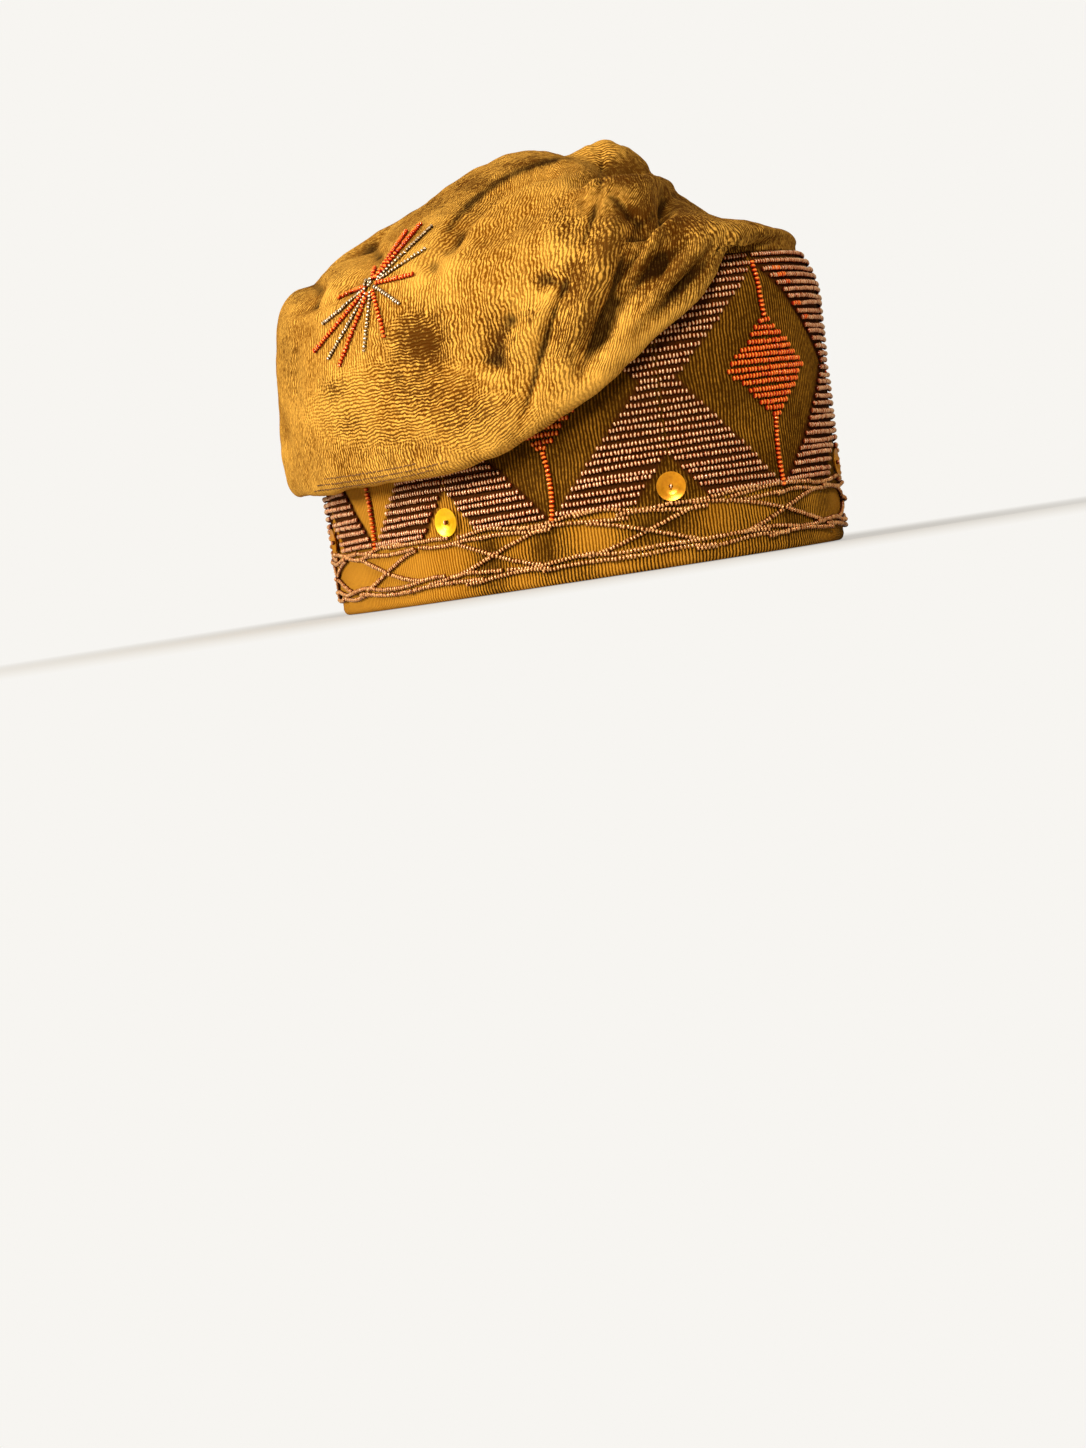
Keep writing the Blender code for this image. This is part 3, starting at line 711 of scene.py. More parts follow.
def grid_mesh(name, grid, cloth_across, cloth_up, marks, merge):
    """A smooth mesh through a grid whose columns close on themselves, with cloth coordinates and marks."""
    rows, columns = len(grid) - 1, grid.shape[1]
    points = np.concatenate((grid, grid[:, :1]), axis=1).reshape(-1, 3)
    sheet = bmesh.new()
    layers = {mark: sheet.verts.layers.float.new(mark) for mark in marks}
    cloth = sheet.loops.layers.uv.new("cloth")
    bmesh.ops.create_grid(sheet, x_segments=columns, y_segments=rows, size=1.0)
    values = {
        mark: np.concatenate((field, field[:, :1]), axis=1).ravel() for mark, field in marks.items()
    }
    across = np.broadcast_to(cloth_across, (rows + 1, columns + 1)).ravel()
    up = np.broadcast_to(np.concatenate((cloth_up, cloth_up[:, :1]), axis=1), (rows + 1, columns + 1)).ravel()
    for number, (vert, point) in enumerate(zip(sheet.verts, points)):
        vert.co = point
        vert.index = number
        for mark, layer in layers.items():
            vert[layer] = values[mark][number]
    for face in sheet.faces:
        face.smooth = True
        for loop in face.loops:
            loop[cloth].uv = (across[loop.vert.index], up[loop.vert.index])
    bmesh.ops.remove_doubles(sheet, verts=sheet.verts, dist=merge)
    bmesh.ops.recalc_face_normals(sheet, faces=sheet.faces)
    highest = max(sheet.faces, key=lambda face: face.calc_center_median().z)
    if highest.normal.z < 0.0:
        bmesh.ops.reverse_faces(sheet, faces=sheet.faces)
    return to_mesh(name, sheet)


def diamond_half(height):
    """Half the width of a bare diamond at a height."""
    below = (height - DIAMOND_FOOT) / (DIAMOND_WIDEST - DIAMOND_FOOT)
    above = (DIAMOND_TOP - height) / (DIAMOND_TOP - DIAMOND_WIDEST)
    return DIAMOND_HALF * np.clip(np.minimum(below, above), 0.0, 1.0)


def triangle_half(height):
    """Half the width of a bare triangle at a height."""
    share = (TRIANGLE_TOP - height) / (TRIANGLE_TOP - TRIANGLE_FOOT)
    return TRIANGLE_HALF * np.clip(share, 0.0, 1.0)


def beaded_ground(arc, height):
    """Where the velvet shows dark thread and painted shade between bead rows: 1 under the rows, 0 on bare
    velvet.
    """
    to_diamond = np.abs((arc + UNIT / 2) % UNIT - UNIT / 2)
    to_triangle = UNIT / 2 - to_diamond
    clear = np.minimum(to_diamond - diamond_half(height), to_triangle - triangle_half(height))
    rows = smooth((height - ROWS_FOOT + 2.0 * MM) / (1.5 * MM)) * smooth((ROWS_TOP - height) / (1.5 * MM))
    return smooth(clear / (1.2 * MM) + 0.3) * rows


# How strongly the band's pile is brushed dark and painted with shade, at shares of its round from the front;
# below 0 it lies bright, as painted light
BAND_BRUSHING_AND_PAINTED_LIGHT = (
    (0.0, 0.62), (0.10, 0.64), (0.19, 0.62), (0.25, -0.36), (0.36, -0.36),
    (0.46, 0.3), (0.6, 0.15), (0.75, 0.35), (0.88, 0.5), (1.0, 0.6),
)


def make_band(finish, backing):
    """The velvet side wall: down its inside, round a turned hem at the rim, and up its outside."""
    columns = 420
    hem = 3.4 * MM
    outer = np.linspace(hem, BAND_HEIGHT, 72)
    inner = np.linspace(BAND_HEIGHT, hem, 12)
    hem_turn = np.linspace(0.0, math.pi, 9)[1:-1]
    middle = -BAND_WALL / 2.0
    half = BAND_WALL / 2.0 + 0.25 * MM
    outline = [(-BAND_WALL, height) for height in inner]
    outline += [(middle - half * math.cos(turn), hem * (1.0 - math.sin(turn))) for turn in hem_turn]
    outline += [(0.0, height) for height in outer]
    outline.append(outline[0])
    arc = np.arange(columns) / columns * GIRTH
    angle = angle_at(arc)
    grid = np.array([on_band(angle, out - top_roll(height), height) for out, height in outline])
    run = np.concatenate(([0.0], np.cumsum([math.dist(a, b) for a, b in zip(outline[:-1], outline[1:])])))
    face = np.array([out > middle for out, _ in outline])[:, None]
    height = np.array([height for _, height in outline])[:, None]
    border = smooth((BORDER_TOP - height) / (4.0 * MM))
    turned = np.interp(arc / GIRTH, *zip(*BAND_BRUSHING_AND_PAINTED_LIGHT))
    uneven = np.array([[noise.noise(Vector(point) / (16.0 * MM)) for point in row] for row in grid])
    # Brushed pile and painted shade from the table, a little paler on the lower border; hollow carries the
    # table's painted light where it is below 0
    marks = {
        "beaded": beaded_ground(arc[None, :], height) * face,
        "brushed_and_shade": (turned[None, :] - 0.25 * border + (0.14 + 0.4 * border) * uneven) * face,
        "hollow": 0.5 + np.minimum(turned, 0.0) + np.zeros_like(uneven),
        "combed across": np.zeros_like(uneven),
        "on top": np.zeros_like(uneven),
    }
    cloth_across = np.append(arc, GIRTH)[None, :]
    mesh = grid_mesh("velvet_band", grid, cloth_across, run[:, None] + 0.0 * arc[None, :], marks, 0.001 * MM)
    band = add_piece("velvet_band", mesh, "band_velvet", (finish, backing))
    for polygon in mesh.polygons:
        centre = polygon.center
        polygon.material_index = int(
            polygon.normal.x * centre.x + polygon.normal.y * centre.y < 0.0 and centre.z > 2.0 * hem
        )
    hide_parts("band")


# Where the pile is brushed the wrong way and shows brown, with painted shade on folds and cloth in shade:
# across, up, half-widths and strength
BRUSHED_AND_SHADE_PATCHES = (
    (-47, 94, 11, 12, 0.72),
    (-52, 78, 15, 12, 0.40),
    (-81, 82, 6, 6, 0.40),
    (-77, 69, 9, 7, 0.34),
    (-20, 90, 8, 11, 0.55),
    (1, 109, 6, 5, 0.42),
    (-96, 95, 5, 22, 0.30),
    (-90, 118, 6, 6, 0.36),
    (4, 86, 7, 14, 0.40),
    (-34, 66, 18, 10, 0.38),
    (-68, 58, 34, 12, 0.26),
    (12, 126, 7, 10, 0.44),
    (13, 107, 9, 12, 0.54),
    (-22, 140, 12, 4, 0.28),
    (0, 152, 14, 3.5, 0.55),
    (-18, 147.5, 12, 4, 0.5),
    (-36, 143, 12, 5, 0.36),
    (-76, 123, 8, 5, 0.30),
    (50, 128, 26, 26, 0.60),
    (36, 143, 16, 9, 0.68),
    (36, 128, 16, 6, 0.7),
    (25, 118, 11, 12, 0.62),
    (76, 112, 22, 12, 0.45),
    (46, 106, 28, 16, 0.64),
    (64, 108, 20, 9, 0.42),
    (13, 92, 12, 16, 0.5),
    (-7, 98, 4, 4, 0.45),
)

# Which way the pile is combed, for streaks that run level and for slanted ones: the same columns
COMBED_ACROSS = ((-60, 74, 36, 18, 1), (-30, 62, 24, 12, 1), (-50, 95, 12, 12, 1), (28, 134, 16, 8, 1))
COMBED_ASLANT = ((40, 100, 34, 24, 1), (20, 84, 20, 16, 1), (2, 92, 9, 14, 1))


def patches(across, up, rows, facing):
    """Soft spots at places across and up, each as strong as its row says, on cloth that faces the view."""
    total = np.zeros(across.shape)
    for place, height, wide, tall, strength in rows:
        offset = ((across - place * MM) / (wide * MM)) ** 2 + ((up - height * MM) / (tall * MM)) ** 2
        total = np.maximum(total, strength * np.exp(-offset) * facing)
    return total


def make_crown(finish, backing):
    """The velvet bag, with its folds and seam, brushed patches with painted shade, and painted shade in
    creases.
    """
    angle = crown_angles(CROWN_COLUMNS)
    grid, run = crown_surface(angle, CROWN_ROWS)
    grid = folded(lumped(grid), angle, FOLDS, BACK_FOLDS)
    grid = rumpled(grid)
    grid = folded(grid, angle, FINE_FOLDS, ())
    across, up = seen(grid)
    facing = smooth((surface_normals(grid) @ np.array(VIEW_TOWARD) + 0.1) / 0.4)
    # The hollow mark: painted shade in creases and a painted highlight on ridges, from how hollow the cloth
    # is, with the crease lines' painted shade added where the cloth faces the view
    hollow = hollowness(grid, 3) / (3.0 * MM) + 0.35 * hollowness(grid, 7) / (9.0 * MM)
    hollow = hollow + sum(fold_rise(across, up, line) for line in CREASE_SHADE_LINES) / MM * facing
    marks = {
        "beaded": np.zeros(across.shape),
        # Brown patches of brushed pile and painted shade
        "brushed_and_shade": patches(across, up, BRUSHED_AND_SHADE_PATCHES, facing),
        "hollow": 0.5 + 0.5 * np.clip(hollow, -1.0, 1.2),
        "combed across": smooth(patches(across, up, COMBED_ACROSS, facing) * 2.0 - 0.5),
        "combed aslant": smooth(patches(across, up, COMBED_ASLANT, facing) * 2.0 - 0.5),
        "on top": smooth((TOP_REACH - from_pole(grid)) / (6.0 * MM)),
    }
    arc = np.append(np.interp(angle, FINE_ANGLES, RIM_ARCS), GIRTH)[None, :]
    mesh = grid_mesh("velvet_crown", grid, arc, run, marks, 0.01 * MM)
    crown = add_piece("velvet_crown", mesh, "crown_velvet", (finish, backing))
    wall = crown.modifiers.new("Wall", "SOLIDIFY")
    wall.thickness = CROWN_WALL
    wall.offset = -1.0
    wall.material_offset = 1
    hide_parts("crown")
    return crown


def along_line(at, run, values):
    """Places or directions at lengths along a line."""
    return np.stack([np.interp(at, run, values[:, axis]) for axis in range(3)], axis=-1)


class Beadwork:
    """Strands of beads, gathered until they are joined into one mesh."""

    def __init__(self, radius, pitch):
        self.radius = radius
        self.pitch = pitch
        self.beads = []

    def strand(self, places, outs, size=1.0):
        """Beads threaded along a line of places, each turned and sized a little by hand."""
        steps = np.linalg.norm(np.diff(places, axis=0), axis=-1)
        run = np.concatenate(([0.0], np.cumsum(steps)))
        count = max(1, int(round(run[-1] / (self.pitch * size))))
        at = (np.arange(count) + 0.5) / count * run[-1]
        at = at + rng.normal(0.0, 0.04, count) * self.pitch
        spots = along_line(at, run, places)
        out = along_line(at, run, outs)
        along = along_line(at + 0.1 * MM, run, places) - along_line(at - 0.1 * MM, run, places)
        along += rng.normal(0.0, 0.12, along.shape) * np.linalg.norm(along, axis=-1, keepdims=True)
        along /= np.linalg.norm(along, axis=-1, keepdims=True)
        side = np.cross(out, along)
        side /= np.linalg.norm(side, axis=-1, keepdims=True)
        up = np.cross(along, side)
        # Sewn by hand: each bead sits a little off the line, and differs in size, length and tone
        spots += side * rng.normal(0.0, 0.06, (count, 1)) * MM + up * rng.normal(0.0, 0.05, (count, 1)) * MM
        radius = self.radius * size * rng.normal(1.0, 0.05, count)
        half = self.pitch * size * rng.uniform(0.42, 0.48, count)
        tone = np.clip(rng.normal(0.5, 0.28, count), 0.0, 1.0)
        self.beads.append((spots, side, up, along, radius, half, tone))

    def couched(self, arcs, heights, lift=0.0, size=1.0):
        """A strand laid on the band's velvet through arcs and heights."""
        outs = outward(arcs, heights)
        lifts = np.full(len(arcs), self.radius * size * 0.85) + lift
        places = on_velvet(arcs, heights, 0.0) + outs * lifts[..., None]
        self.strand(places, outs, size)

    def join(self, name, slot, material):
        """All the beads as one smooth mesh, each a short barrel with eight sides."""
        shape = bmesh.new()
        bmesh.ops.create_uvsphere(shape, u_segments=8, v_segments=4, radius=1.0)
        for vert in shape.verts:
            if 0.5 < abs(vert.co.z) < 0.9:
                vert.co.x *= 1.08
                vert.co.y *= 1.08
                vert.co.z *= 1.08
        corners = np.array([vert.co[:] for vert in shape.verts])
        faces = [[vert.index for vert in face.verts] for face in shape.faces]
        shape.free()
        spots, side, up, along, radius, half, tone = (np.concatenate(part) for part in zip(*self.beads))
        points = (
            spots[:, None]
            + corners[None, :, 0, None] * radius[:, None, None] * side[:, None]
            + corners[None, :, 1, None] * radius[:, None, None] * up[:, None]
            + corners[None, :, 2, None] * half[:, None, None] * along[:, None]
        )
        sizes = np.array([len(face) for face in faces])
        loops = np.concatenate(faces)
        starts = np.arange(len(spots)) * len(corners)
        mesh = bpy.data.meshes.new(name)
        mesh.vertices.add(points.size // 3)
        mesh.vertices.foreach_set("co", points.ravel())
        mesh.loops.add(len(loops) * len(spots))
        mesh.loops.foreach_set("vertex_index", (starts[:, None] + loops[None]).ravel())
        mesh.polygons.add(len(faces) * len(spots))
        totals = np.tile(sizes, len(spots))
        mesh.polygons.foreach_set("loop_start", np.concatenate(([0], np.cumsum(totals)[:-1])))
        mesh.update(calc_edges=True)
        mesh.validate()
        mesh.shade_smooth()
        # Painted shade toward a bead's ends and its foot, and a painted highlight on its top, with some beads
        # darker than others
        painted_light = np.clip(corners[:, 1], 0.0, 1.0) * (1.0 - 0.8 * np.abs(corners[:, 2]))
        tones = mesh.attributes.new("tone", "FLOAT", "POINT")
        tone = np.clip(painted_light[None] * (1.1 + 0.75 * tone[:, None]), 0.0, 1.0)
        tones.data.foreach_set("value", (tone ** 1.6).ravel())
        return add_piece(name, mesh, slot, (material,))


def bowed(start, end, bow, count=14):
    """Arcs or heights from start to end that bow by an amount at the middle."""
    share = np.linspace(0.0, 1.0, count)
    return blend(start, end, share) + bow * 4.0 * share * (1.0 - share)


def make_copper_rows(material):
    """Rows of copper beads that fill the band between the diamonds, in a left and a right half that meet."""
    heights = np.arange(ROWS_FOOT, ROWS_TOP, ROW_PITCH)
    for unit in range(DIAMONDS):
        work = Beadwork(COPPER_RADIUS, COPPER_PITCH)
        for height in heights:
            gap = diamond_half(height) + 0.9 * MM
            start = unit * UNIT + gap + rng.normal(0.0, 0.35) * MM
            end = (unit + 1) * UNIT - gap + rng.normal(0.0, 0.35) * MM
            middle = (unit + 0.5) * UNIT + rng.normal(0.0, 0.5) * MM
            opening = triangle_half(height) + (0.9 * MM if height < TRIANGLE_TOP else 0.1 * MM)
            drop = rng.normal(0.0, 0.22) * MM
            for first, last, near in ((start, middle - opening, 0), (middle + opening, end, 1)):
                if last - first < 1.5 * MM:
                    continue
                arcs = bowed(first, last, 0.0)
                low = height + rng.normal(0.0, 0.12) * MM
                high = height + drop + rng.normal(0.0, 0.15) * MM
                run = bowed(low, high, rng.normal(0.0, 0.15) * MM)
                work.couched(arcs, run if near == 0 else run[::-1])
        work.join(f"copper_rows_{unit + 1}", "copper_beads", material)


def make_lozenges(material):
    """An orange lozenge of short rows at the middle of each diamond, with a strand to each tip."""
    work = Beadwork(ORANGE_RADIUS, ORANGE_PITCH)
    lowest = LOZENGE_MIDDLE - LOZENGE_HALF
    highest = LOZENGE_MIDDLE + LOZENGE_HALF
    heights = np.arange(lowest + 1.2 * MM, highest, LOZENGE_PITCH)
    for unit in range(DIAMONDS):
        middle = unit * UNIT
        for height in heights:
            half = LOZENGE_HALF * (1.0 - abs(height - LOZENGE_MIDDLE) / LOZENGE_HALF) + 0.6 * MM
            arcs = bowed(middle - half, middle + half, 0.0) + rng.normal(0.0, 0.35) * MM
            run = bowed(height, height + rng.normal(0.0, 0.25) * MM, rng.normal(0.0, 0.25) * MM)
            work.couched(arcs, run)
        for low, high in (
            (DIAMOND_FOOT - 1.0 * MM, lowest + 0.5 * MM),
            (highest - 0.5 * MM, DIAMOND_TOP + 0.5 * MM),
        ):
            heights_up = bowed(low, high, 0.0)
            arcs = middle + bowed(0.0, 0.0, rng.normal(0.0, 0.5) * MM)
            work.couched(arcs, heights_up, size=1.12)
    work.join("orange_lozenges", "orange_beads", material)


def make_border(name, heights, pieces, material):
    """Short wavy strands that overlap end beside end, in lines round the band."""
    work = Beadwork(STRAND_RADIUS, COPPER_PITCH)
    share = np.linspace(0.0, 1.0, 22)
    for line, middle in enumerate(heights):
        for piece in range(pieces):
            start = (piece + line * 0.43 + rng.normal(0.0, 0.07)) / pieces * GIRTH
            arcs = np.linspace(start, start + GIRTH / pieces * rng.uniform(1.06, 1.28), len(share))
            turns = share * math.pi * rng.uniform(1.4, 2.4) + rng.uniform(0.0, 6.3)
            wave = np.sin(turns) * rng.uniform(0.3, 0.8) * MM
            slope = rng.choice((-1.0, 1.0)) * rng.uniform(0.5, 1.3) * MM * (share - 0.5)
            lift = (0.25 + 0.5 * ((piece + line) % 2)) * MM * smooth(np.abs(share - 0.5) * 5.0 - 1.4)
            work.couched(arcs, middle + wave + slope, lift)
    work.join(name, "copper_beads", material)


def make_crosses(material):
    """Eleven crosses between the two borders, each of two strands, the second laid over the first."""
    work = Beadwork(STRAND_RADIUS, COPPER_PITCH)
    share = np.linspace(-1.0, 1.0, 26)
    for cross in range(CROSSES):
        middle = cross / CROSSES * GIRTH + rng.normal(0.0, 0.8) * MM
        for way in (-1.0, 1.0):
            length = CROSS_HALF * rng.uniform(0.92, 1.04)
            bend = rng.uniform(0.05, 0.3)
            shape = share * (1.0 + bend - bend * share ** 2)
            sag = rng.normal(0.0, 0.5) * MM * (1.0 - share ** 2)
            heights = CROSS_MIDDLE + way * CROSS_RISE * shape * rng.uniform(0.9, 1.08) + sag
            over = (1.3 * MM if way > 0.0 else 0.0) * np.exp(-((share / 0.08) ** 2))
            work.couched(middle + share * length, heights, over)
    work.join("crossed_strands", "copper_beads", material)


# Short runs of orange beads among the copper rows at the front: arc from the front, height and length
ORANGE_RUNS = (
    (-13.0, 95.3, 5.0), (-14.5, 92.6, 5.0), (-16.0, 89.8, 3.0), (-20.5, 84.0, 5.0), (-25.0, 78.2, 3.0),
)


def make_orange_runs(material):
    """A few orange beads laid along the copper rows, just proud of them."""
    work = Beadwork(COPPER_RADIUS, COPPER_PITCH)
    for arc, height, length in ORANGE_RUNS:
        arcs = np.linspace(arc, arc + length, 8) * MM
        row = round((height * MM - ROWS_FOOT) / ROW_PITCH)
        work.couched(arcs, np.full(8, ROWS_FOOT + row * ROW_PITCH + rng.normal(0.0, 0.15) * MM), 0.35 * MM)
    work.join("orange_runs", "orange_beads", material)


def make_sequins(materials, bead_material):
    """A cupped disc between each two diamonds, held by one small bead."""
    knots = Beadwork(KNOT_RADIUS, KNOT_LENGTH)
    for number in range(DIAMONDS):
        arc = np.array([(number + 0.5) * UNIT])
        height = np.array([SEQUIN_HEIGHT])
        out = outward(arc, height)[0]
        place = on_velvet(arc, height, SEQUIN_LIFT)[0]
        turn = Vector(out).to_track_quat("Z", "Y").to_matrix().to_4x4()
        disc = bmesh.new()
        ring = [disc.verts.new((out_mm * MM, 0.0, up_mm * MM)) for out_mm, up_mm in SEQUIN_SECTION]
        edges = [disc.edges.new(pair) for pair in zip(ring, ring[1:] + ring[:1])]
        bmesh.ops.spin(
            disc, geom=ring + edges, axis=(0.0, 0.0, 1.0), angle=2.0 * math.pi, steps=40, use_merge=True
        )
        bmesh.ops.remove_doubles(disc, verts=disc.verts, dist=0.001 * MM)
        bmesh.ops.recalc_face_normals(disc, faces=disc.faces)
        bmesh.ops.transform(disc, matrix=Matrix.Translation(Vector(place)) @ turn, verts=disc.verts)
        mesh = to_mesh(f"sequin_disc_{number + 1}", disc)
        mesh.shade_smooth()
        mesh.set_sharp_from_angle(angle=math.radians(28.0))
        sequin = add_piece(f"sequin_disc_{number + 1}", mesh, "sequin", (materials[number % len(materials)],))
        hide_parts(f"sequin_{number + 1}")
        side = np.cross(out, (0.0, 0.0, 1.0))
        line = place + out * KNOT_LIFT + np.array([[-0.5], [0.5]]) * side * MM
        knots.strand(line, np.tile(out, (2, 1)))
    knots.join("sequin_beads", "copper_beads", bead_material)


def sight_of(crown):
    """A function that gives the place on the crown seen at across and up in metres, and the way out of it."""
    shape = bmesh.new()
    shape.from_mesh(crown.data)
    tree = BVHTree.FromBMesh(shape)
    shape.free()

    def seen_at(across, up):
        """The first place that a line from the eye meets."""
        target = VIEW_ACROSS * across + Vector((0.0, 0.0, up))
        place, out, _, _ = tree.ray_cast(EYE, (target - EYE).normalized())
        return place, out if place is None or out.dot(EYE - place) > 0.0 else -out

    return seen_at


def star_line(seen_at, tip, start, radius):
    """A line on the crown from near the star's centre toward a ray's tip, and the ways out of the cloth."""
    places = []
    outs = []
    for share in np.linspace(start, 1.0, 16):
        place, out = seen_at(*(blend(a, b, share) * MM for a, b in zip(STAR_CENTRE, tip)))
        if place is None or (places and (place - places[-1]).length > STAR_JUMP):
            break
        places.append(place)
        outs.append(out)
    outs = np.array(outs)
    outs[1:-1] = (outs[1:-1] + outs[:-2] + outs[2:]) / 3.0
    outs /= np.linalg.norm(outs, axis=-1, keepdims=True)
    return np.array(places) + outs * radius * 0.8, outs


def make_starburst(seen_at, orange, silver):
    """Rays of beads stitched to the crown round one point, with a small cluster at their centre."""
    for name, slot, tips, radius, pitch, material in (
        ("starburst_orange", "orange_beads", ORANGE_RAYS, STAR_ORANGE_RADIUS, STAR_ORANGE_PITCH, orange),
        ("starburst_silver", "silver_beads", SILVER_RAYS, STAR_SILVER_RADIUS, STAR_SILVER_PITCH, silver),
    ):
        work = Beadwork(radius, pitch)
        for tip in tips:
            work.strand(*star_line(seen_at, tip, 0.1, radius))
        if name == "starburst_silver":
            for x, y in STAR_CLUSTER:
                places, outs = star_line(seen_at, (STAR_CENTRE[0] + x, STAR_CENTRE[1] + y), 0.6, radius)
                work.strand(places + outs * 0.9 * MM, outs)
        work.join(name, slot, material)


# Rows of small dark stitches along the hanging edge: start, middle and end of each, across and up in the view
EDGE_STITCHES = (
    ((-94.0, 46.6), (-70.0, 46.4), (-50.0, 47.6)),
    ((-93.0, 48.4), (-68.0, 48.2), (-44.0, 49.8)),
    ((-90.0, 50.4), (-72.0, 50.1), (-56.0, 50.8)),
)


def make_edge_stitches(seen_at, material):
    """Three rows of thread just above the crown's hanging edge, half sunk in the pile."""
    work = Beadwork(STITCH_RADIUS, STITCH_LENGTH)
    for start, middle, end in EDGE_STITCHES:
        found = [seen_at(across, up) for across, up in curve_through(start, middle, end, 30)]
        places, outs = zip(*(pair for pair in found if pair[0] is not None))
        work.strand(np.array(places), np.array(outs))
    work.join("edge_stitches", "crown_velvet", material)


def make_stage():
    """Pale seamless floor: near the cap it takes its shadow, farther out it is as bright as the backdrop."""
    pale = linear("#F7F5F1")
    material, tree, shader = new_material("pale paper floor", {
        "Roughness": 0.9, "Base Color": linear("#B0AEAA"),
    })
    place = add_node(tree, "ShaderNodeTexCoord", output="Object")
    distance = add_node(tree, "ShaderNodeVectorMath", {0: place}, "Value", operation="LENGTH")
    far = add_node(tree, "ShaderNodeMapRange", {
        "Value": distance, "From Min": 0.13, "From Max": 0.4, "To Min": 0.5,
    })
    direct = add_node(tree, "ShaderNodeLightPath", output="Is Camera Ray")
    shown = add_node(tree, "ShaderNodeMath", {0: far, 1: direct}, operation="MULTIPLY")
    glow = add_node(tree, "ShaderNodeEmission", {"Color": pale, "Strength": 1.0})
    mixed = add_node(tree, "ShaderNodeMixShader", {0: shown, 1: shader.outputs["BSDF"], 2: glow})
    tree.links.new(mixed, tree.nodes["Material Output"].inputs["Surface"])
    shape = bmesh.new()
    bmesh.ops.create_circle(shape, cap_ends=True, segments=96, radius=40.0)
    mesh = to_mesh("floor", shape)
    mesh.materials.append(material)
    floor = bpy.data.objects.new("floor", mesh)
    floor.location.z = -0.2 * MM
    bpy.context.scene.collection.objects.link(floor)
    world = bpy.data.worlds.new("studio")
    bpy.context.scene.world = world
    world.use_nodes = True
    sky = world.node_tree
    sight = add_node(sky, "ShaderNodeLightPath", output="Is Camera Ray")
    backdrop = add_node(sky, "ShaderNodeBackground", {"Color": pale, "Strength": 1.0})
    ray = add_node(sky, "ShaderNodeTexCoord", output="Generated")
    height = add_node(sky, "ShaderNodeSeparateXYZ", {0: ray}, "Z")
    above = add_node(sky, "ShaderNodeMapRange", {
        "Value": height, "From Min": 0.0, "From Max": 0.9, "To Min": 0.1, "To Max": 0.5,
    })
    fill = sky.nodes["Background"]
    fill.inputs["Color"].default_value = linear("#F2E6D2")
    sky.links.new(above, fill.inputs["Strength"])
    chosen = add_node(sky, "ShaderNodeMixShader", {0: sight, 1: fill.outputs["Background"], 2: backdrop})
    sky.links.new(chosen, sky.nodes["World Output"].inputs["Surface"])


def add_light(name, across, toward, height, size, watts, colour):
    """A soft square light, placed across and toward the photograph's view, aimed at the cap."""
    data = bpy.data.lights.new(name, "AREA")
    data.size = size
    data.energy = watts
    data.color = linear(colour)[:3]
    light = bpy.data.objects.new(name, data)
    light.location = VIEW_ACROSS * across + VIEW_TOWARD * toward + Vector((0.0, 0.0, height))
    aim = Vector((0.0, 0.0, 0.08)) - light.location
    light.rotation_euler = aim.to_track_quat("-Z", "Y").to_euler()
    bpy.context.scene.collection.objects.link(light)


def add_camera():
    """The photograph's view, turned so that the cap's rim rises to the right."""
    data = bpy.data.cameras.new("camera")
    data.lens = LENS
    data.clip_start = 0.01
    camera = bpy.data.objects.new("camera", data)
    aim = VIEW_ACROSS * AIM_ACROSS + Vector((0.0, 0.0, AIM_HEIGHT)) - EYE
    turn = aim.to_track_quat("-Z", "Y").to_matrix() @ Matrix.Rotation(-ROLL, 3, "Z")
    camera.matrix_world = Matrix.Translation(EYE) @ turn.to_4x4()
    bpy.context.scene.collection.objects.link(camera)
    bpy.context.scene.camera = camera


bpy.context.scene.view_settings.view_transform = "Standard"
add_camera()
make_stage()
add_light("key", across=-1.15, toward=0.55, height=0.55, size=0.4, watts=21.5, colour="#FFF6E8")
add_light("front", across=0.15, toward=1.15, height=0.6, size=0.22, watts=13.5, colour="#FFF4E2")

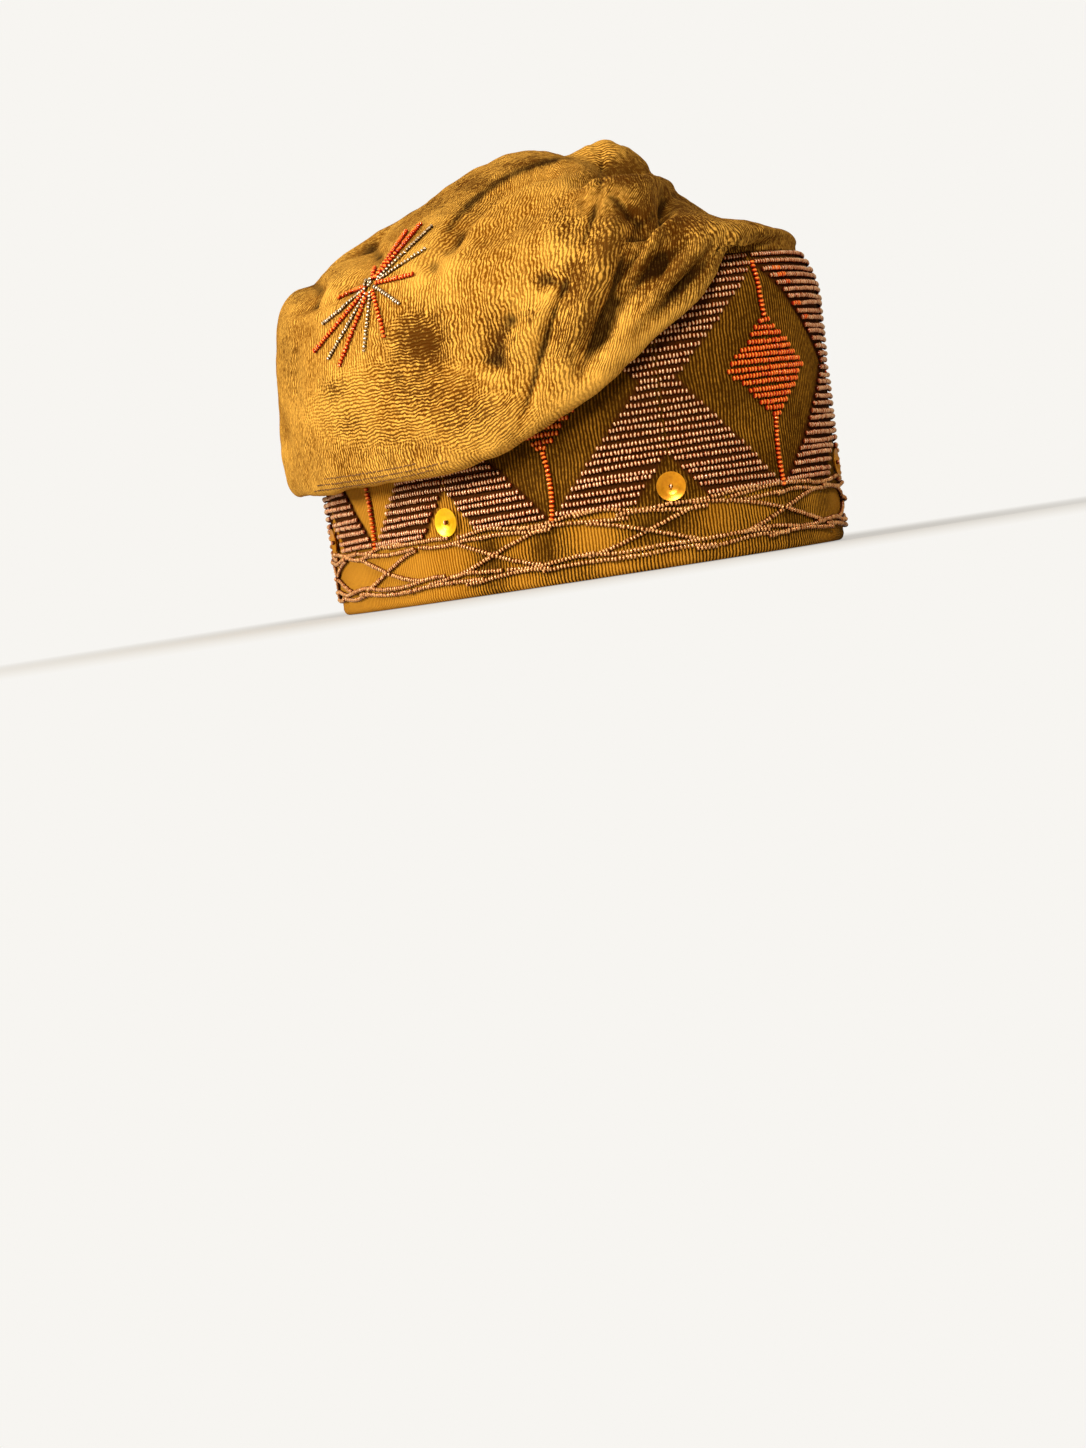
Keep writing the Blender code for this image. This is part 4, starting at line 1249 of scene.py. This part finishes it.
# Velvet colours: painted shade in creases, the pile's middle, its pale strokes with the painted highlight on
# ridges, and the brown of brushed pile with painted shade
gold_velvet = velvet(
    "brushed gold cotton velvet", ("#1E0E02", "#744408", "#E2AA48", "#4A2602"), wander=0.003, distortion=11.0,
    turns=(0, 90, -35), sheen=0.05, mottling=0.22, gaps=0.15,
)
brown_velvet = velvet(
    "brown-gold cotton velvet", ("#241202", "#824E06", "#C0862A", "#2E1800"), wander=0.0025, distortion=3.0,
    turns=(0, 90), sheen=0.02, mottling=0.06, gaps=0.7,
)
backing = cloth_back()
lined_glass = {
    "Metallic": 0.25, "Roughness": 0.22, "Specular IOR Level": 0.15,
    "Coat Weight": 0.35, "Coat Roughness": 0.03,
}
# Bead colours: painted shade at feet and ends, the beads' own colour, and a painted highlight on crests
copper = bead_finish("copper-lined seed beads", "#3C0E02", "#A8480E", "#FFDEAE", lined_glass)
gilt = bead_finish("gold-lined seed beads", "#421604", "#A0561A", "#F8C888", lined_glass)
orange = bead_finish("orange seed beads", "#6E0800", "#D63A02", "#FFA43C", {
    "Roughness": 0.16, "Specular IOR Level": 0.15, "Coat Weight": 0.35, "Coat Roughness": 0.03,
})
silver = bead_finish("silver-lined seed beads", "#3A2208", "#A88A5C", "#FFF4E0", {
    "Metallic": 0.5, "Roughness": 0.2, "Specular IOR Level": 0.3,
})
thread = bead_finish("brown cotton thread", "#5A380A", "#6A440E", "#7C5214", {"Roughness": 0.8})
sequin_films = (
    sequin_film("amber sequin film", "#F0A818", "#C87808"),
    sequin_film("yellow sequin film", "#FFD21E", "#F0B00C"),
)

make_band(brown_velvet, backing)
seen_at = sight_of(make_crown(gold_velvet, backing))
make_copper_rows(copper)
make_lozenges(orange)
make_border("upper_border", heights=(19.6 * MM, 21.8 * MM), pieces=21, material=gilt)
make_border("lower_border", heights=(5.8 * MM, 7.9 * MM), pieces=20, material=gilt)
make_crosses(gilt)
make_orange_runs(orange)
make_sequins(sequin_films, copper)
make_starburst(seen_at, orange, silver)
make_edge_stitches(seen_at, thread)
